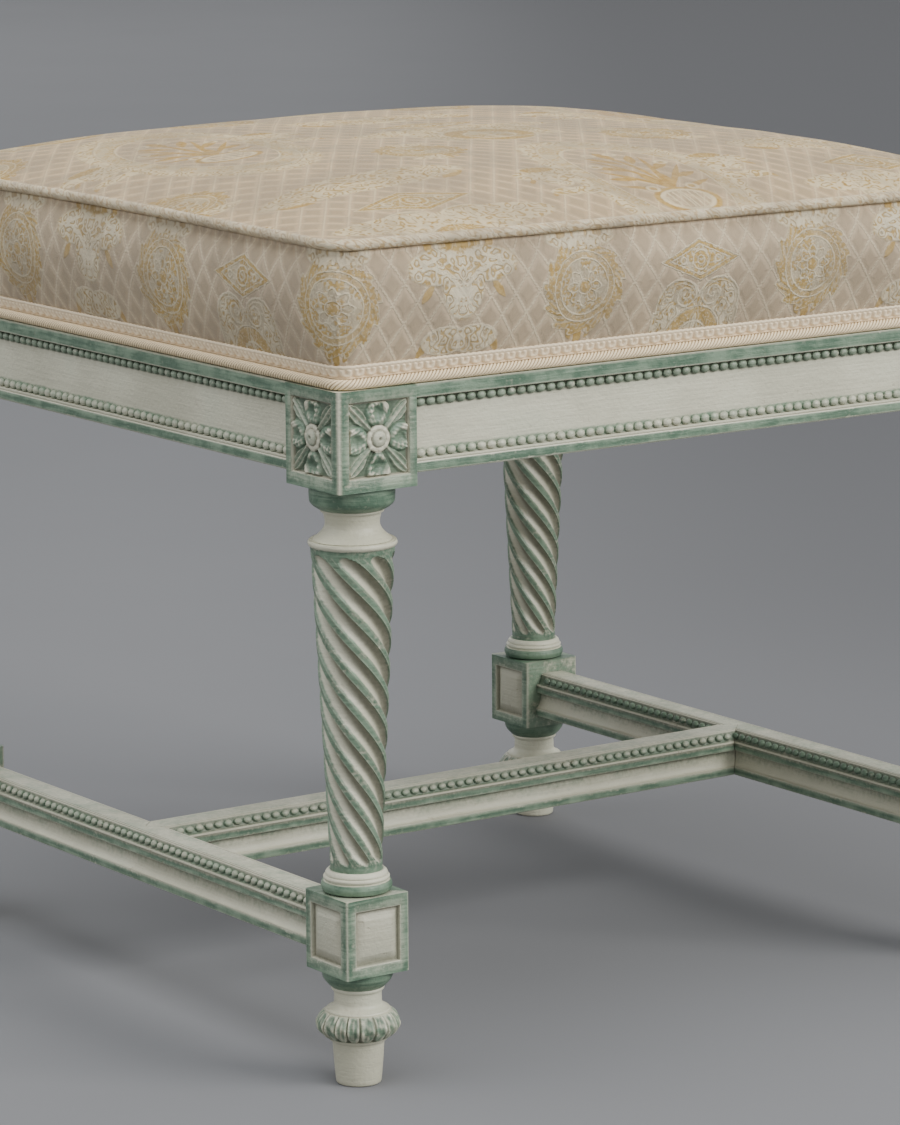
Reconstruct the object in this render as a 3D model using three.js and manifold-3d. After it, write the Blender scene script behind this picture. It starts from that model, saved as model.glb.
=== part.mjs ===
// A square tabouret stool with four turned legs, twisted flutes, an H stretcher and a stuffed seat.
// Millimetres, +Z up. The origin is on the floor, under the middle of the seat. The front faces -Y.

import * as THREE from 'three';
import { mergeVertices } from 'three/addons/utils/BufferGeometryUtils.js';
import Module from 'manifold-3d';

const wasm = await Module();
wasm.setup();

// Driving dimensions

const frame = {
  legSpacing: 422.7, // between the axes of neighbouring legs
  gap: 0.3, // between pieces that touch
  overrun: 1 // how far a cut runs past the face that it opens
};

const upperBlock = {
  width: 48.7,
  height: 52.7,
  chamfer: 2.8,
  recessDepth: 2.4,
  cornerBorder: 6.8, // from the leg's outer corner to the recess
  innerBorder: 4.4,
  topBorder: 6,
  bottomBorder: 6.8
};

const lowerBlock = {
  width: 39.8,
  height: 42.3,
  chamfer: 1.6,
  recessDepth: 2,
  fieldRise: 1.6, // how far the raised field stands up in its recess
  fieldBevel: 5.5,
  sideBorder: 6,
  endBorder: 6.2
};

// Turned mouldings, from the floor up. Each runs from one radius to the next over its height.
// A swell makes it bulge, or hollow where it is below zero, as half a wave.
const footMouldings = [
  { name: 'toe', height: 23.9, from: 12.9, to: 13.9, swell: 0, steps: 1 },
  { name: 'ring', height: 1.7, from: 15.4, to: 15.6, swell: 0, steps: 1 },
  { name: 'leaf collar', height: 13.9, from: 17.2, to: 17.6, swell: 4.4, steps: 4 },
  { name: 'lip', height: 1.3, from: 17, to: 16.6, swell: 0, steps: 1 },
  { name: 'hollow', height: 4.2, from: 16.2, to: 12.6, swell: -1.2, steps: 2 },
  { name: 'neck', height: 6, from: 12.6, to: 12.5, swell: 0, steps: 1 },
  { name: 'fillet', height: 1.9, from: 13.7, to: 13.7, swell: 0, steps: 1 },
  { name: 'quarter round', height: 9, from: 14.2, to: 18.8, swell: 1.6, steps: 2 }
];
const ringMouldings = [
  { name: 'lower ring', height: 6, from: 18.1, to: 18.1, swell: 0.8, steps: 2 },
  { name: 'groove', height: 1, from: 17.2, to: 17.2, swell: 0, steps: 1 },
  { name: 'upper ring', height: 5, from: 17.2, to: 14.7, swell: 1, steps: 2 }
];
const neckMouldings = [
  { name: 'bead', height: 3.2, from: 22.9, to: 22.9, swell: 0.3, steps: 1 },
  { name: 'hollow', height: 12.5, from: 20.6, to: 14.8, swell: -2.8, steps: 3 },
  { name: 'neck', height: 2.5, from: 14.8, to: 15.5, swell: 0, steps: 1 },
  { name: 'fillet', height: 1.4, from: 16.7, to: 16.7, swell: 0, steps: 1 },
  { name: 'quarter round', height: 4.2, from: 17.2, to: 22.2, swell: 0.9, steps: 1 },
  { name: 'disc', height: 8.1, from: 22.2, to: 22.3, swell: 0, steps: 1 }
];

const shaft = {
  height: 171.9,
  bottomRadius: 13.6,
  topRadius: 22,
  coreRadius: 6, // the spindle that runs through the shaft to the mouldings at both ends
  fluteCount: 8,
  lead: 135, // height of one full turn of a flute
  depthShare: 0.135, // of the radius
  landShare: 0.28, // of one flute's pitch
  startShare: -0.03, // turn of the first flute's middle at the top of the shaft
  bottomPlain: 4, // plain ends of the shaft, past the flutes
  topPlain: 2.5,
  fluteEnd: 3.2, // length of a flute's rounded end
  ringSteps: 12
};

const rail = {
  height: 46.1,
  thickness: 28,
  setback: 1.2, // of the rail's face behind the legs' faces
  bottomFillet: 5.6,
  line: 1.4, // the fine step above the bottom fillet
  lineSetback: 0.9,
  bead: 5.1, // height of each beaded half round
  topFillet: 7.2,
  friezeDepth: 2.9,
  beadProjection: 2.5,
  tenonClearance: 5, // between a tenon's tip and the side of the tenon that crosses its path
  tenonThickness: 9,
  tenonHeight: 32,
  tenonDrop: 4 // from the top of the moulded face to the top of the tenon
};

const tacking = {
  ledge: 7.2, // width of the ledge round the seat that the cord lies on
  height: 11.3,
  cornerChamfer: 9
};

const railPeg = {
  radius: 3.3,
  cover: 7.7, // wood left between a peg's tip and the leg's outer face
  drop: 6.5, // of the upper peg below the top of the tenon
  stagger: 14, // between the two pegs that cross in one leg
  fromShoulder: 11
};

const cornerBlock = { reach: 41, height: 25, drop: 17 };

const screw = {
  headRadius: 3.8,
  headRim: 0.6,
  headHeight: 2.8,
  shankRadius: 1.9,
  point: 4,
  length: 24,
  headDepth: 5, // of the head below the sloping face
  fromCorner: 26 // along the rail, from the leg's inner face
};

const stretcher = {
  height: 27,
  baseHalfWidth: 13,
  topHalfWidth: 8.4,
  topGroove: 1.1,
  grooveStep: 0.9,
  bead: 5.4,
  beadHalfWidth: 11.9,
  bandHalfWidth: 12.3,
  band: 5.6,
  coveTopHalfWidth: 9,
  coveBottomHalfWidth: 12.4,
  cove: 9.8,
  tenonLength: 16,
  tenonThickness: 8,
  tenonHeight: 17,
  crossTenonLength: 8.5, // past the point of the mitre
  crossTenonHeight: 14
};

const crossPeg = { radius: 2.1, length: 19, placeShare: 0.5 };

const webbing = {
  count: 4,
  seatMargin: 1.3, // from a strap's end to the outer face of the tacking strip
  pitchShare: 0.415, // of half a strap's length
  widthShare: 0.81, // of the pitch
  thickness: 1.5
};

const hessian = { thickness: 1.2 };

const cushion = {
  clothThickness: 1.6,
  cornerRadius: 5, // of the boxing at the ledge
  sideBow: 2.4, // how far the sides swell between the corners
  cordLean: 1.2, // how far the boxing stands out from its hem at the top of the cord
  gimpLean: 5.6, // at the top of the gimp
  seamLean: 9.8, // at the seam
  sideSwell: 3.6,
  gimpTop: 14.4, // heights above the ledge
  seam: 72,
  stuffingEase: 1.5, // of the stuffing's edge below the seam
  coverRise: 4.6, // of the top cover's edge above the seam
  crown: 24,
  crownPower: 4,
  crownRingShares: [0.35, 0.65, 0.87, 1],
  wallSteps: 4,
  sideSteps: 6,
  cornerSteps: 4
};

const cord = { radius: 2.8, sides: 8 };
const gimp = { thickness: 2.2, belly: 0.6 };
const welt = { radius: 2.9, sides: 6 };

const turnedSides = 16;
const pegSides = 8;
const roundSteps = 4;

// Heights and places that follow from the sizes above

const sum = (rows) => rows.reduce((total, row) => total + row.height, 0);
const lowerBlockBottom = sum(footMouldings);
const lowerBlockTop = lowerBlockBottom + lowerBlock.height;
const shaftBottom = lowerBlockTop + sum(ringMouldings);
const shaftTop = shaftBottom + shaft.height;
const upperBlockBottom = shaftTop + sum(neckMouldings);
const ledgeHeight = upperBlockBottom + upperBlock.height;
const tackingTop = ledgeHeight + tacking.height;
const legAxis = frame.legSpacing / 2;
const upperHalf = upperBlock.width / 2;
const lowerHalf = lowerBlock.width / 2;
const outerFace = legAxis + upperHalf;
const innerFace = legAxis - upperHalf;
const railFace = outerFace - rail.setback;
const railBack = railFace - rail.thickness;
const railBottom = ledgeHeight - rail.height;
const railTenonMiddle = railFace - rail.thickness / 2;
const railTenonInnerSide = legAxis - railTenonMiddle + rail.tenonThickness / 2;
const railTenonLength = upperHalf - railTenonInnerSide - rail.tenonClearance;
const railTenonTop = ledgeHeight - rail.tenonDrop;
const upperPegHeight = railTenonTop - railPeg.drop;
const railPegLength = upperBlock.width - railPeg.cover;
const shoulder = innerFace - frame.gap;
const tackingFace = outerFace - tacking.ledge - rail.setback;
const stretcherBottom = lowerBlockBottom + (lowerBlock.height - stretcher.height) / 2;
const stretcherTop = stretcherBottom + stretcher.height;
const stretcherMiddle = stretcherBottom + stretcher.height / 2;
const stretcherShoulder = legAxis - lowerHalf - frame.gap;
const crossPegPlace = legAxis + stretcher.crossTenonLength * crossPeg.placeShare;
const cornerSlope = shoulder + railBack - frame.gap - cornerBlock.reach;
const cornerBlockTop = ledgeHeight - cornerBlock.drop;
const screwHeight = cornerBlockTop - cornerBlock.height / 2;
const screwPlace = shoulder - screw.fromCorner;
const screwHead = cornerSlope - screwPlace + screw.headDepth;
const strapEnd = tackingFace - webbing.seatMargin;
const strapPitch = strapEnd * webbing.pitchShare;
const strapWidth = strapPitch * webbing.widthShare;
const webbingMiddle = tackingTop + frame.gap + webbing.thickness / 2;
const webbingLift = (webbing.thickness + frame.gap) / 2;
const hessianBottom = webbingMiddle + webbingLift + webbing.thickness / 2 + frame.gap;
const stuffingBottom = hessianBottom + hessian.thickness + frame.gap - ledgeHeight;
const cordTop = 2 * (cord.radius + frame.gap);
const hemHalfWidth = tackingFace + frame.gap + cushion.clothThickness;
const cordTopHalfWidth = hemHalfWidth + cushion.cordLean;
const gimpTopHalfWidth = hemHalfWidth + cushion.gimpLean;
const seamHalfWidth = hemHalfWidth + cushion.seamLean;
const weltHalfWidth = seamHalfWidth - cushion.clothThickness / 2;
const coverHalfWidth = weltHalfWidth - welt.radius - frame.gap;
const quarterTurn = Math.PI / 2;

// Even values from one to another, both ends included.
function evenSteps(from, to, steps) {
  return Array.from({ length: steps + 1 }, (_, step) => from + ((to - from) * step) / steps);
}

// Solids, cuts and joins

function solidOf(geometry) {
  const bare = geometry.index ? geometry.toNonIndexed() : geometry.clone();
  bare.deleteAttribute('normal');
  bare.deleteAttribute('uv');
  const merged = mergeVertices(bare);
  const vertProperties = new Float32Array(merged.attributes.position.array);
  const order = Array.from(merged.index.array);
  const triangles = [];
  for (let first = 0; first < order.length; first += 3) {
    const [a, b, c] = order.slice(first, first + 3);
    if (a !== b && b !== c && c !== a) {
      triangles.push(a, b, c);
    }
  }
  const triVerts = new Uint32Array(triangles);
  return new wasm.Manifold(new wasm.Mesh({ numProp: 3, vertProperties, triVerts }));
}

function geometryOf(solid) {
  const mesh = solid.getMesh();
  const geometry = new THREE.BufferGeometry();
  geometry.setAttribute('position', new THREE.BufferAttribute(new Float32Array(mesh.vertProperties), 3));
  geometry.setIndex(new THREE.BufferAttribute(new Uint32Array(mesh.triVerts), 1));
  const facets = geometry.toNonIndexed();
  facets.computeVertexNormals();
  return facets;
}

function joined(solids) {
  return solids.reduce((whole, solid) => whole.add(solid));
}

function cut(solid, cutters) {
  return cutters.reduce((rest, cutter) => rest.subtract(cutter), solid);
}

// A solid turned about the vertical axis by quarters.
function turned(solid, quarters) {
  return solidOf(geometryOf(solid).rotateZ(quarters * quarterTurn));
}

// A box between two corners.
function slab(x, y, z) {
  const geometry = new THREE.BoxGeometry(x[1] - x[0], y[1] - y[0], z[1] - z[0]);
  geometry.translate((x[0] + x[1]) / 2, (y[0] + y[1]) / 2, (z[0] + z[1]) / 2);
  return solidOf(geometry);
}

function shapeOf(points) {
  return new THREE.Shape(points.map(([x, y]) => new THREE.Vector2(x, y)));
}

// An outline in plan, raised from one height to another.
function upright(points, bottom, top) {
  const geometry = new THREE.ExtrudeGeometry(shapeOf(points), { depth: top - bottom, bevelEnabled: false });
  geometry.translate(0, 0, bottom);
  return solidOf(geometry);
}

// A section drawn in Y and Z, carried along X.
function moulding(points, from, to) {
  const geometry = new THREE.ExtrudeGeometry(shapeOf(points), { depth: to - from, bevelEnabled: false });
  const along = new THREE.Vector3(1, 0, 0);
  const basis = new THREE.Matrix4().makeBasis(new THREE.Vector3(0, 1, 0), new THREE.Vector3(0, 0, 1), along);
  geometry.applyMatrix4(basis);
  geometry.translate(from, 0, 0);
  return solidOf(geometry);
}

// A round bar with its radius given along its length, starting at a point and pointing along an axis.
function turnedBar(profile, start, direction, sides) {
  const points = profile.map(([radius, distance]) => new THREE.Vector2(radius, distance));
  const geometry = new THREE.LatheGeometry(points, sides);
  const turn = new THREE.Quaternion().setFromUnitVectors(new THREE.Vector3(0, 1, 0), direction);
  geometry.applyQuaternion(turn);
  geometry.translate(start.x, start.y, start.z);
  return solidOf(geometry);
}

function plainBar(radius, length, start, direction) {
  return turnedBar([[0, 0], [radius, 0], [radius, length], [0, length]], start, direction, pegSides);
}

// A closed skin over rings of points that all have the same count and run anticlockwise from above.
// The rings start under the piece and go outwards, up and in again. Poles close the two ends,
// and without them the last ring meets the first.
function skin(rings, firstPole, lastPole) {
  const count = rings[0].length;
  const points = rings.flat();
  const index = [];
  const at = (ring, place) => (ring % rings.length) * count + (place % count);
  const bands = firstPole ? rings.length - 1 : rings.length;
  for (let ring = 0; ring < bands; ring += 1) {
    for (let place = 0; place < count; place += 1) {
      const a = at(ring, place);
      const b = at(ring, place + 1);
      const c = at(ring + 1, place + 1);
      const d = at(ring + 1, place);
      // Four corners are split along their shorter diagonal.
      if (points[a].distanceTo(points[c]) < points[b].distanceTo(points[d])) {
        index.push(a, b, c, a, c, d);
      } else {
        index.push(a, b, d, b, c, d);
      }
    }
  }
  if (firstPole) {
    const first = points.length;
    const last = first + 1;
    points.push(firstPole, lastPole);
    for (let place = 0; place < count; place += 1) {
      index.push(first, at(0, place + 1), at(0, place));
      index.push(last, at(rings.length - 1, place), at(rings.length - 1, place + 1));
    }
  }
  const geometry = new THREE.BufferGeometry().setFromPoints(points);
  geometry.setIndex(index);
  return geometry;
}

// The leg

// Radius and height of each ring of a stack of mouldings that starts at a height.
function turnedProfile(mouldings, bottom) {
  const points = [];
  let level = bottom;
  for (const { height, from, to, swell, steps } of mouldings) {
    for (let step = 0; step <= steps; step += 1) {
      const share = step / steps;
      const radius = from + (to - from) * share + swell * Math.sin(Math.PI * share);
      points.push([radius, level + height * share]);
    }
    level += height;
  }
  return points;
}

// One turned spindle from the floor to the upper block, thin where the fluted shaft goes over it.
function spindle() {
  const foot = turnedProfile(footMouldings, 0);
  const ring = turnedProfile(ringMouldings, lowerBlockTop);
  const neck = turnedProfile(neckMouldings, shaftTop);
  const core = [[shaft.coreRadius, shaftBottom], [shaft.coreRadius, shaftTop]];
  const lastRadius = neck[neck.length - 1][0];
  const end = ledgeHeight - frame.overrun;
  const profile = [[0, 0], ...foot, ...ring, ...core, ...neck, [lastRadius, end], [0, end]];
  return turnedBar(profile, new THREE.Vector3(), new THREE.Vector3(0, 0, 1), turnedSides);
}

// How deep the flutes are at a height: nothing on the plain ends, full depth past the rounded ends.
function fluteFade(height) {
  const fromBottom = (height - shaftBottom - shaft.bottomPlain) / shaft.fluteEnd;
  const fromTop = (shaftTop - shaft.topPlain - height) / shaft.fluteEnd;
  const inside = Math.min(Math.max(Math.min(fromBottom, fromTop), 0), 1);
  return Math.sqrt(1 - (1 - inside) ** 2);
}

// The heights of the shaft's rings: its ends, the flutes' rounded ends and even steps between them.
function shaftHeights() {
  const half = shaft.fluteEnd / 2;
  const low = shaftBottom + shaft.bottomPlain;
  const high = shaftTop - shaft.topPlain;
  const from = low + shaft.fluteEnd;
  const to = high - shaft.fluteEnd;
  const even = evenSteps(from, to, shaft.ringSteps);
  return [shaftBottom - frame.overrun, low, low + half, ...even, high - half, high, shaftTop + frame.overrun];
}

// A ring has a land and a round-bottomed flute for each pitch, and turns with the flutes' lead.
function shaftRing(height) {
  const share = Math.min(Math.max((height - shaftBottom) / shaft.height, 0), 1);
  const radius = shaft.bottomRadius + (shaft.topRadius - shaft.bottomRadius) * share;
  const depth = shaft.depthShare * radius * fluteFade(height);
  const turn = shaft.startShare + (shaftTop - height) / shaft.lead;
  const acrossShares = [0, 0.3, 0.7, 1];
  const points = [];
  for (let flute = 0; flute < shaft.fluteCount; flute += 1) {
    for (const across of acrossShares) {
      const pitchShare = (across - 1 / 2) * (1 - shaft.landShare);
      const angle = 2 * Math.PI * (turn + (flute + pitchShare) / shaft.fluteCount);
      const here = radius - depth * (1 - (2 * across - 1) ** 2);
      points.push(new THREE.Vector3(here * Math.cos(angle), here * Math.sin(angle), height));
    }
  }
  return points;
}

function flutedShaft() {
  const heights = shaftHeights();
  const bottom = new THREE.Vector3(0, 0, heights[0]);
  const top = new THREE.Vector3(0, 0, heights[heights.length - 1]);
  return solidOf(skin(heights.map(shaftRing), bottom, top));
}

// A square with its four corners chamfered.
function chamferedSquare(half, chamfer) {
  const short = half - chamfer;
  return [
    [-short, -half], [short, -half], [half, -short], [half, short],
    [short, half], [-short, half], [-half, short], [-half, -short]
  ];
}

// A square that runs between two values both ways, with its lower left corner chamfered.
function corneredSquare(from, to, chamfer) {
  return [[from + chamfer, from], [to, from], [to, to], [from, to], [from, from + chamfer]];
}

// The two blocks, and the post behind the seat's ledge that the covering is tacked to.
// In these functions the leg's own axis is at zero and its outer corner is towards -X and -Y.
function legBlocks() {
  const upper = corneredSquare(-upperHalf, upperHalf, upperBlock.chamfer);
  const lower = chamferedSquare(lowerHalf, lowerBlock.chamfer);
  const post = corneredSquare(legAxis - tackingFace, upperHalf, tacking.cornerChamfer);
  return [
    upright(upper, upperBlockBottom, ledgeHeight),
    upright(lower, lowerBlockBottom, lowerBlockTop),
    upright(post, ledgeHeight - frame.overrun, tackingTop)
  ];
}

// A square sinking on each outer face of the upper block, for its carved rosette.
function rosetteRecesses() {
  const near = -upperHalf + upperBlock.cornerBorder;
  const far = upperHalf - upperBlock.innerBorder;
  const deep = [-upperHalf - frame.overrun, -upperHalf + upperBlock.recessDepth];
  const z = [upperBlockBottom + upperBlock.bottomBorder, ledgeHeight - upperBlock.topBorder];
  return [slab([near, far], deep, z), slab(deep, [near, far], z)];
}

// A sinking with a bevelled field left standing in it, on the -Y face of the lower block.
function fieldedPanel() {
  const far = lowerHalf - lowerBlock.sideBorder;
  const near = -far;
  const low = lowerBlockBottom + lowerBlock.endBorder;
  const high = lowerBlockTop - lowerBlock.endBorder;
  const floor = -lowerHalf + lowerBlock.recessDepth;
  const sinking = slab([near, far], [-lowerHalf - frame.overrun, floor], [low, high]);
  const fieldRing = (inset, depth) => [
    new THREE.Vector3(near + inset, low + inset, depth),
    new THREE.Vector3(far - inset, low + inset, depth),
    new THREE.Vector3(far - inset, high - inset, depth),
    new THREE.Vector3(near + inset, high - inset, depth)
  ];
  const middle = (depth) => new THREE.Vector3((near + far) / 2, (low + high) / 2, depth);
  const inside = lowerHalf - lowerBlock.recessDepth - frame.overrun;
  const foot = lowerHalf - lowerBlock.recessDepth;
  const rings = [fieldRing(frame.gap, inside), fieldRing(frame.gap, foot)];
  rings.push(fieldRing(lowerBlock.fieldBevel, foot + lowerBlock.fieldRise));
  const field = skin(rings, middle(inside), middle(foot + lowerBlock.fieldRise));
  field.rotateX(quarterTurn);
  return sinking.subtract(solidOf(field));
}

// A panel on each face of the lower block but the one that the stretcher enters.
function fieldedPanels(stretcherQuarters) {
  const panel = fieldedPanel();
  const turns = [0, 1, 2, 3].filter((quarters) => quarters !== stretcherQuarters);
  return turns.map((quarters) => turned(panel, quarters));
}

// Mortises for the two rails, in the leg's own place.
function railMortises() {
  const middle = legAxis - railTenonMiddle;
  const half = rail.tenonThickness / 2;
  const across = [middle - half, middle + half];
  const along = [upperHalf - railTenonLength, upperHalf + frame.overrun];
  const z = [railTenonTop - rail.tenonHeight, railTenonTop];
  return [slab(along, across, z), slab(across, along, z)];
}

function stretcherMortise(stretcherQuarters) {
  const half = stretcher.tenonThickness / 2;
  const z = [stretcherMiddle - stretcher.tenonHeight / 2, stretcherMiddle + stretcher.tenonHeight / 2];
  const mortise = slab([-half, half], [-lowerHalf - frame.overrun, -lowerHalf + stretcher.tenonLength], z);
  return turned(mortise, stretcherQuarters);
}

// A peg goes through each rail's tenon, from the leg's inner face outwards: the upper one through
// the rail on the leg's +X face, and the lower one through the rail on its +Y face.
function pegBars(ease, runOut) {
  const radius = railPeg.radius + ease;
  const length = railPegLength + ease + runOut;
  const start = upperHalf + runOut;
  const aside = upperHalf - railPeg.fromShoulder;
  const high = new THREE.Vector3(aside, start, upperPegHeight);
  const low = new THREE.Vector3(start, aside, upperPegHeight - railPeg.stagger);
  return [
    plainBar(radius, length, high, new THREE.Vector3(0, -1, 0)),
    plainBar(radius, length, low, new THREE.Vector3(-1, 0, 0))
  ];
}

function legSolid(stretcherQuarters) {
  const body = joined([spindle(), flutedShaft(), ...legBlocks()]);
  return cut(body, [
    ...rosetteRecesses(),
    ...fieldedPanels(stretcherQuarters),
    ...railMortises(),
    stretcherMortise(stretcherQuarters),
    ...pegBars(frame.gap, frame.overrun)
  ]);
}

// The rails

// Half an ellipse standing out from a wall towards -Y, as points from the top down.
function halfRound(wall, projection, bottom, top) {
  const middle = (bottom + top) / 2;
  const half = (top - bottom) / 2;
  return evenSteps(quarterTurn, -quarterTurn, roundSteps).map((angle) => [
    wall - projection * Math.cos(angle),
    middle + half * Math.sin(angle)
  ]);
}

// The rail's section, with its moulded face towards -Y. The cord lies on the ledge at its top.
function railSection() {
  const face = -railFace;
  const frieze = face + rail.friezeDepth;
  const line = railBottom + rail.bottomFillet;
  const lowerBead = line + rail.line;
  const upperFillet = ledgeHeight - rail.topFillet;
  return [
    [face, railBottom],
    [-railBack, railBottom],
    [-railBack, tackingTop],
    [-tackingFace, tackingTop],
    [-tackingFace, ledgeHeight],
    [face, ledgeHeight],
    [face, upperFillet],
    ...halfRound(frieze, rail.beadProjection, upperFillet - rail.bead, upperFillet),
    ...halfRound(frieze, rail.beadProjection, lowerBead, lowerBead + rail.bead),
    [face + rail.lineSetback, lowerBead],
    [face + rail.lineSetback, line],
    [face, line]
  ];
}

// Tenons at both ends of a bar along X, a gap smaller all round than their mortises.
function tenons(shoulderPlace, length, middleY, thickness, middleZ, height) {
  const y = [middleY - thickness / 2 + frame.gap, middleY + thickness / 2 - frame.gap];
  const z = [middleZ - height / 2 + frame.gap, middleZ + height / 2 - frame.gap];
  const root = shoulderPlace - frame.overrun;
  const tip = shoulderPlace + length;
  return [slab([-tip, -root], y, z), slab([root, tip], y, z)];
}

// The holes that the pegs and the corner blocks' screws leave in the front rail.
function railHoles() {
  const pegX = innerFace + railPeg.fromShoulder;
  const radius = railPeg.radius + frame.gap;
  const outwards = new THREE.Vector3(0, -1, 0);
  const bore = (x, z) => plainBar(radius, rail.thickness, new THREE.Vector3(x, -railBack, z), outwards);
  const pegs = [bore(-pegX, upperPegHeight), bore(pegX, upperPegHeight - railPeg.stagger)];
  const screws = [-screwPlace, screwPlace].map((x) => {
    const start = new THREE.Vector3(x, -screwHead, screwHeight);
    return turnedBar(screwHoleProfile(), start, outwards, pegSides);
  });
  return [...pegs, ...screws];
}

function railSolid() {
  const bar = moulding(railSection(), -shoulder, shoulder);
  const middleZ = railTenonTop - rail.tenonHeight / 2;
  const length = railTenonLength;
  const ends = tenons(shoulder, length, -railTenonMiddle, rail.tenonThickness, middleZ, rail.tenonHeight);
  return cut(joined([bar, ...ends]), railHoles());
}

// Corner blocks and their screws

function screwProfile() {
  return [
    [0, 0],
    [screw.headRadius, 0],
    [screw.headRadius, screw.headRim],
    [screw.shankRadius, screw.headHeight],
    [screw.shankRadius, screw.length - screw.point],
    [0, screw.length]
  ];
}

// The counterbore runs out through the corner block's sloping face.
function screwHoleProfile() {
  const head = screw.headRadius + frame.gap;
  const shank = screw.shankRadius + frame.gap;
  const mouth = -screw.headDepth - head - frame.overrun;
  return [
    [0, mouth],
    [head, mouth],
    [head, screw.headRim + frame.gap],
    [shank, screw.headHeight + frame.gap],
    [shank, screw.length + frame.gap],
    [0, screw.length + frame.gap]
  ];
}

// The first screw goes into the front rail and the second into the side rail.
function screwBars(profile) {
  const intoFront = new THREE.Vector3(-screwPlace, -screwHead, screwHeight);
  const intoSide = new THREE.Vector3(-screwHead, -screwPlace, screwHeight);
  return [
    turnedBar(profile, intoFront, new THREE.Vector3(0, -1, 0), pegSides),
    turnedBar(profile, intoSide, new THREE.Vector3(-1, 0, 0), pegSides)
  ];
}

// The block fits round the front left leg's inner corner and lies against both rails.
function cornerBlockSolid() {
  const back = railBack - frame.gap;
  const end = shoulder - cornerBlock.reach;
  const outline = [[-shoulder, -shoulder], [-shoulder, -back], [-end, -back], [-back, -end], [-back, -shoulder]];
  const block = upright(outline, cornerBlockTop - cornerBlock.height, cornerBlockTop);
  return cut(block, screwBars(screwHoleProfile()));
}

// Stretchers

// Half of the section, from the top down: a flat top, a bead, a band, a hollow and a base.
function stretcherSide() {
  const beadTop = stretcherTop - stretcher.topGroove;
  const beadBottom = beadTop - stretcher.bead;
  const bandBottom = beadBottom - stretcher.band;
  const coveBottom = bandBottom - stretcher.cove;
  const beadInner = stretcher.topHalfWidth + stretcher.grooveStep;
  const angles = evenSteps(0, quarterTurn, roundSteps);
  const bead = angles.map((angle) => [
    beadInner + (stretcher.beadHalfWidth - beadInner) * Math.sin(angle),
    beadTop - stretcher.bead * (1 - Math.cos(angle))
  ]);
  const coveDepth = stretcher.coveBottomHalfWidth - stretcher.coveTopHalfWidth;
  const cove = angles.map((angle) => [
    stretcher.coveBottomHalfWidth - coveDepth * Math.cos(angle),
    bandBottom - stretcher.cove * Math.sin(angle)
  ]);
  return [
    [stretcher.topHalfWidth, stretcherTop],
    [stretcher.topHalfWidth, beadTop],
    ...bead,
    [stretcher.bandHalfWidth, beadBottom],
    [stretcher.bandHalfWidth, bandBottom],
    ...cove,
    [stretcher.baseHalfWidth, coveBottom],
    [stretcher.baseHalfWidth, stretcherBottom]
  ];
}

function stretcherSection(middle) {
  const side = stretcherSide();
  const right = side.map(([half, height]) => [middle + half, height]).reverse();
  const left = side.map(([half, height]) => [middle - half, height]);
  return [...right, ...left];
}

// A side stretcher, built along X under the front rail with its inner side towards +Y.
// The cross stretcher's mitred end and tenon are let into the middle of that side.
function sideStretcherSolid() {
  const bar = moulding(stretcherSection(-legAxis), -stretcherShoulder, stretcherShoulder);
  const length = stretcher.tenonLength - frame.gap;
  const thickness = stretcher.tenonThickness;
  const ends = tenons(stretcherShoulder, length, -legAxis, thickness, stretcherMiddle, stretcher.tenonHeight);
  const wing = stretcher.baseHalfWidth + frame.overrun;
  const notch = [[0, -legAxis], [wing, wing - legAxis], [-wing, wing - legAxis]];
  const halfMortise = stretcher.tenonThickness / 2;
  const halfHeight = stretcher.crossTenonHeight / 2;
  const mortise = slab(
    [-halfMortise, halfMortise],
    [-legAxis - stretcher.crossTenonLength, wing - legAxis],
    [stretcherMiddle - halfHeight, stretcherMiddle + halfHeight]
  );
  const pegStart = new THREE.Vector3(0, -crossPegPlace, stretcherBottom - frame.overrun);
  const pegLength = crossPeg.length + frame.overrun + frame.gap;
  return cut(joined([bar, ...ends]), [
    upright(notch, stretcherBottom - frame.overrun, stretcherTop + frame.overrun),
    mortise,
    plainBar(crossPeg.radius + frame.gap, pegLength, pegStart, new THREE.Vector3(0, 0, 1))
  ]);
}

// The cross stretcher, with both ends mitred to a point and tenoned.
function crossStretcherSolid() {
  const bar = moulding(stretcherSection(0), -legAxis, legAxis);
  const wing = stretcher.baseHalfWidth + frame.overrun;
  const point = legAxis - frame.gap * Math.SQRT2;
  const neck = point - wing;
  const plan = [[-point, 0], [-neck, -wing], [neck, -wing], [point, 0], [neck, wing], [-neck, wing]];
  const mitred = bar.intersect(upright(plan, stretcherBottom - frame.overrun, stretcherTop + frame.overrun));
  const shoulderPlace = legAxis - stretcher.baseHalfWidth;
  const length = stretcher.baseHalfWidth + stretcher.crossTenonLength - frame.gap;
  const thickness = stretcher.tenonThickness;
  const ends = tenons(shoulderPlace, length, 0, thickness, stretcherMiddle, stretcher.crossTenonHeight);
  const bores = [-crossPegPlace, crossPegPlace].map((x) => {
    const start = new THREE.Vector3(x, 0, stretcherBottom);
    return plainBar(crossPeg.radius + frame.gap, stretcher.height, start, new THREE.Vector3(0, 0, 1));
  });
  return cut(joined([mitred, ...ends]), bores);
}

// Webbing and hessian

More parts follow.
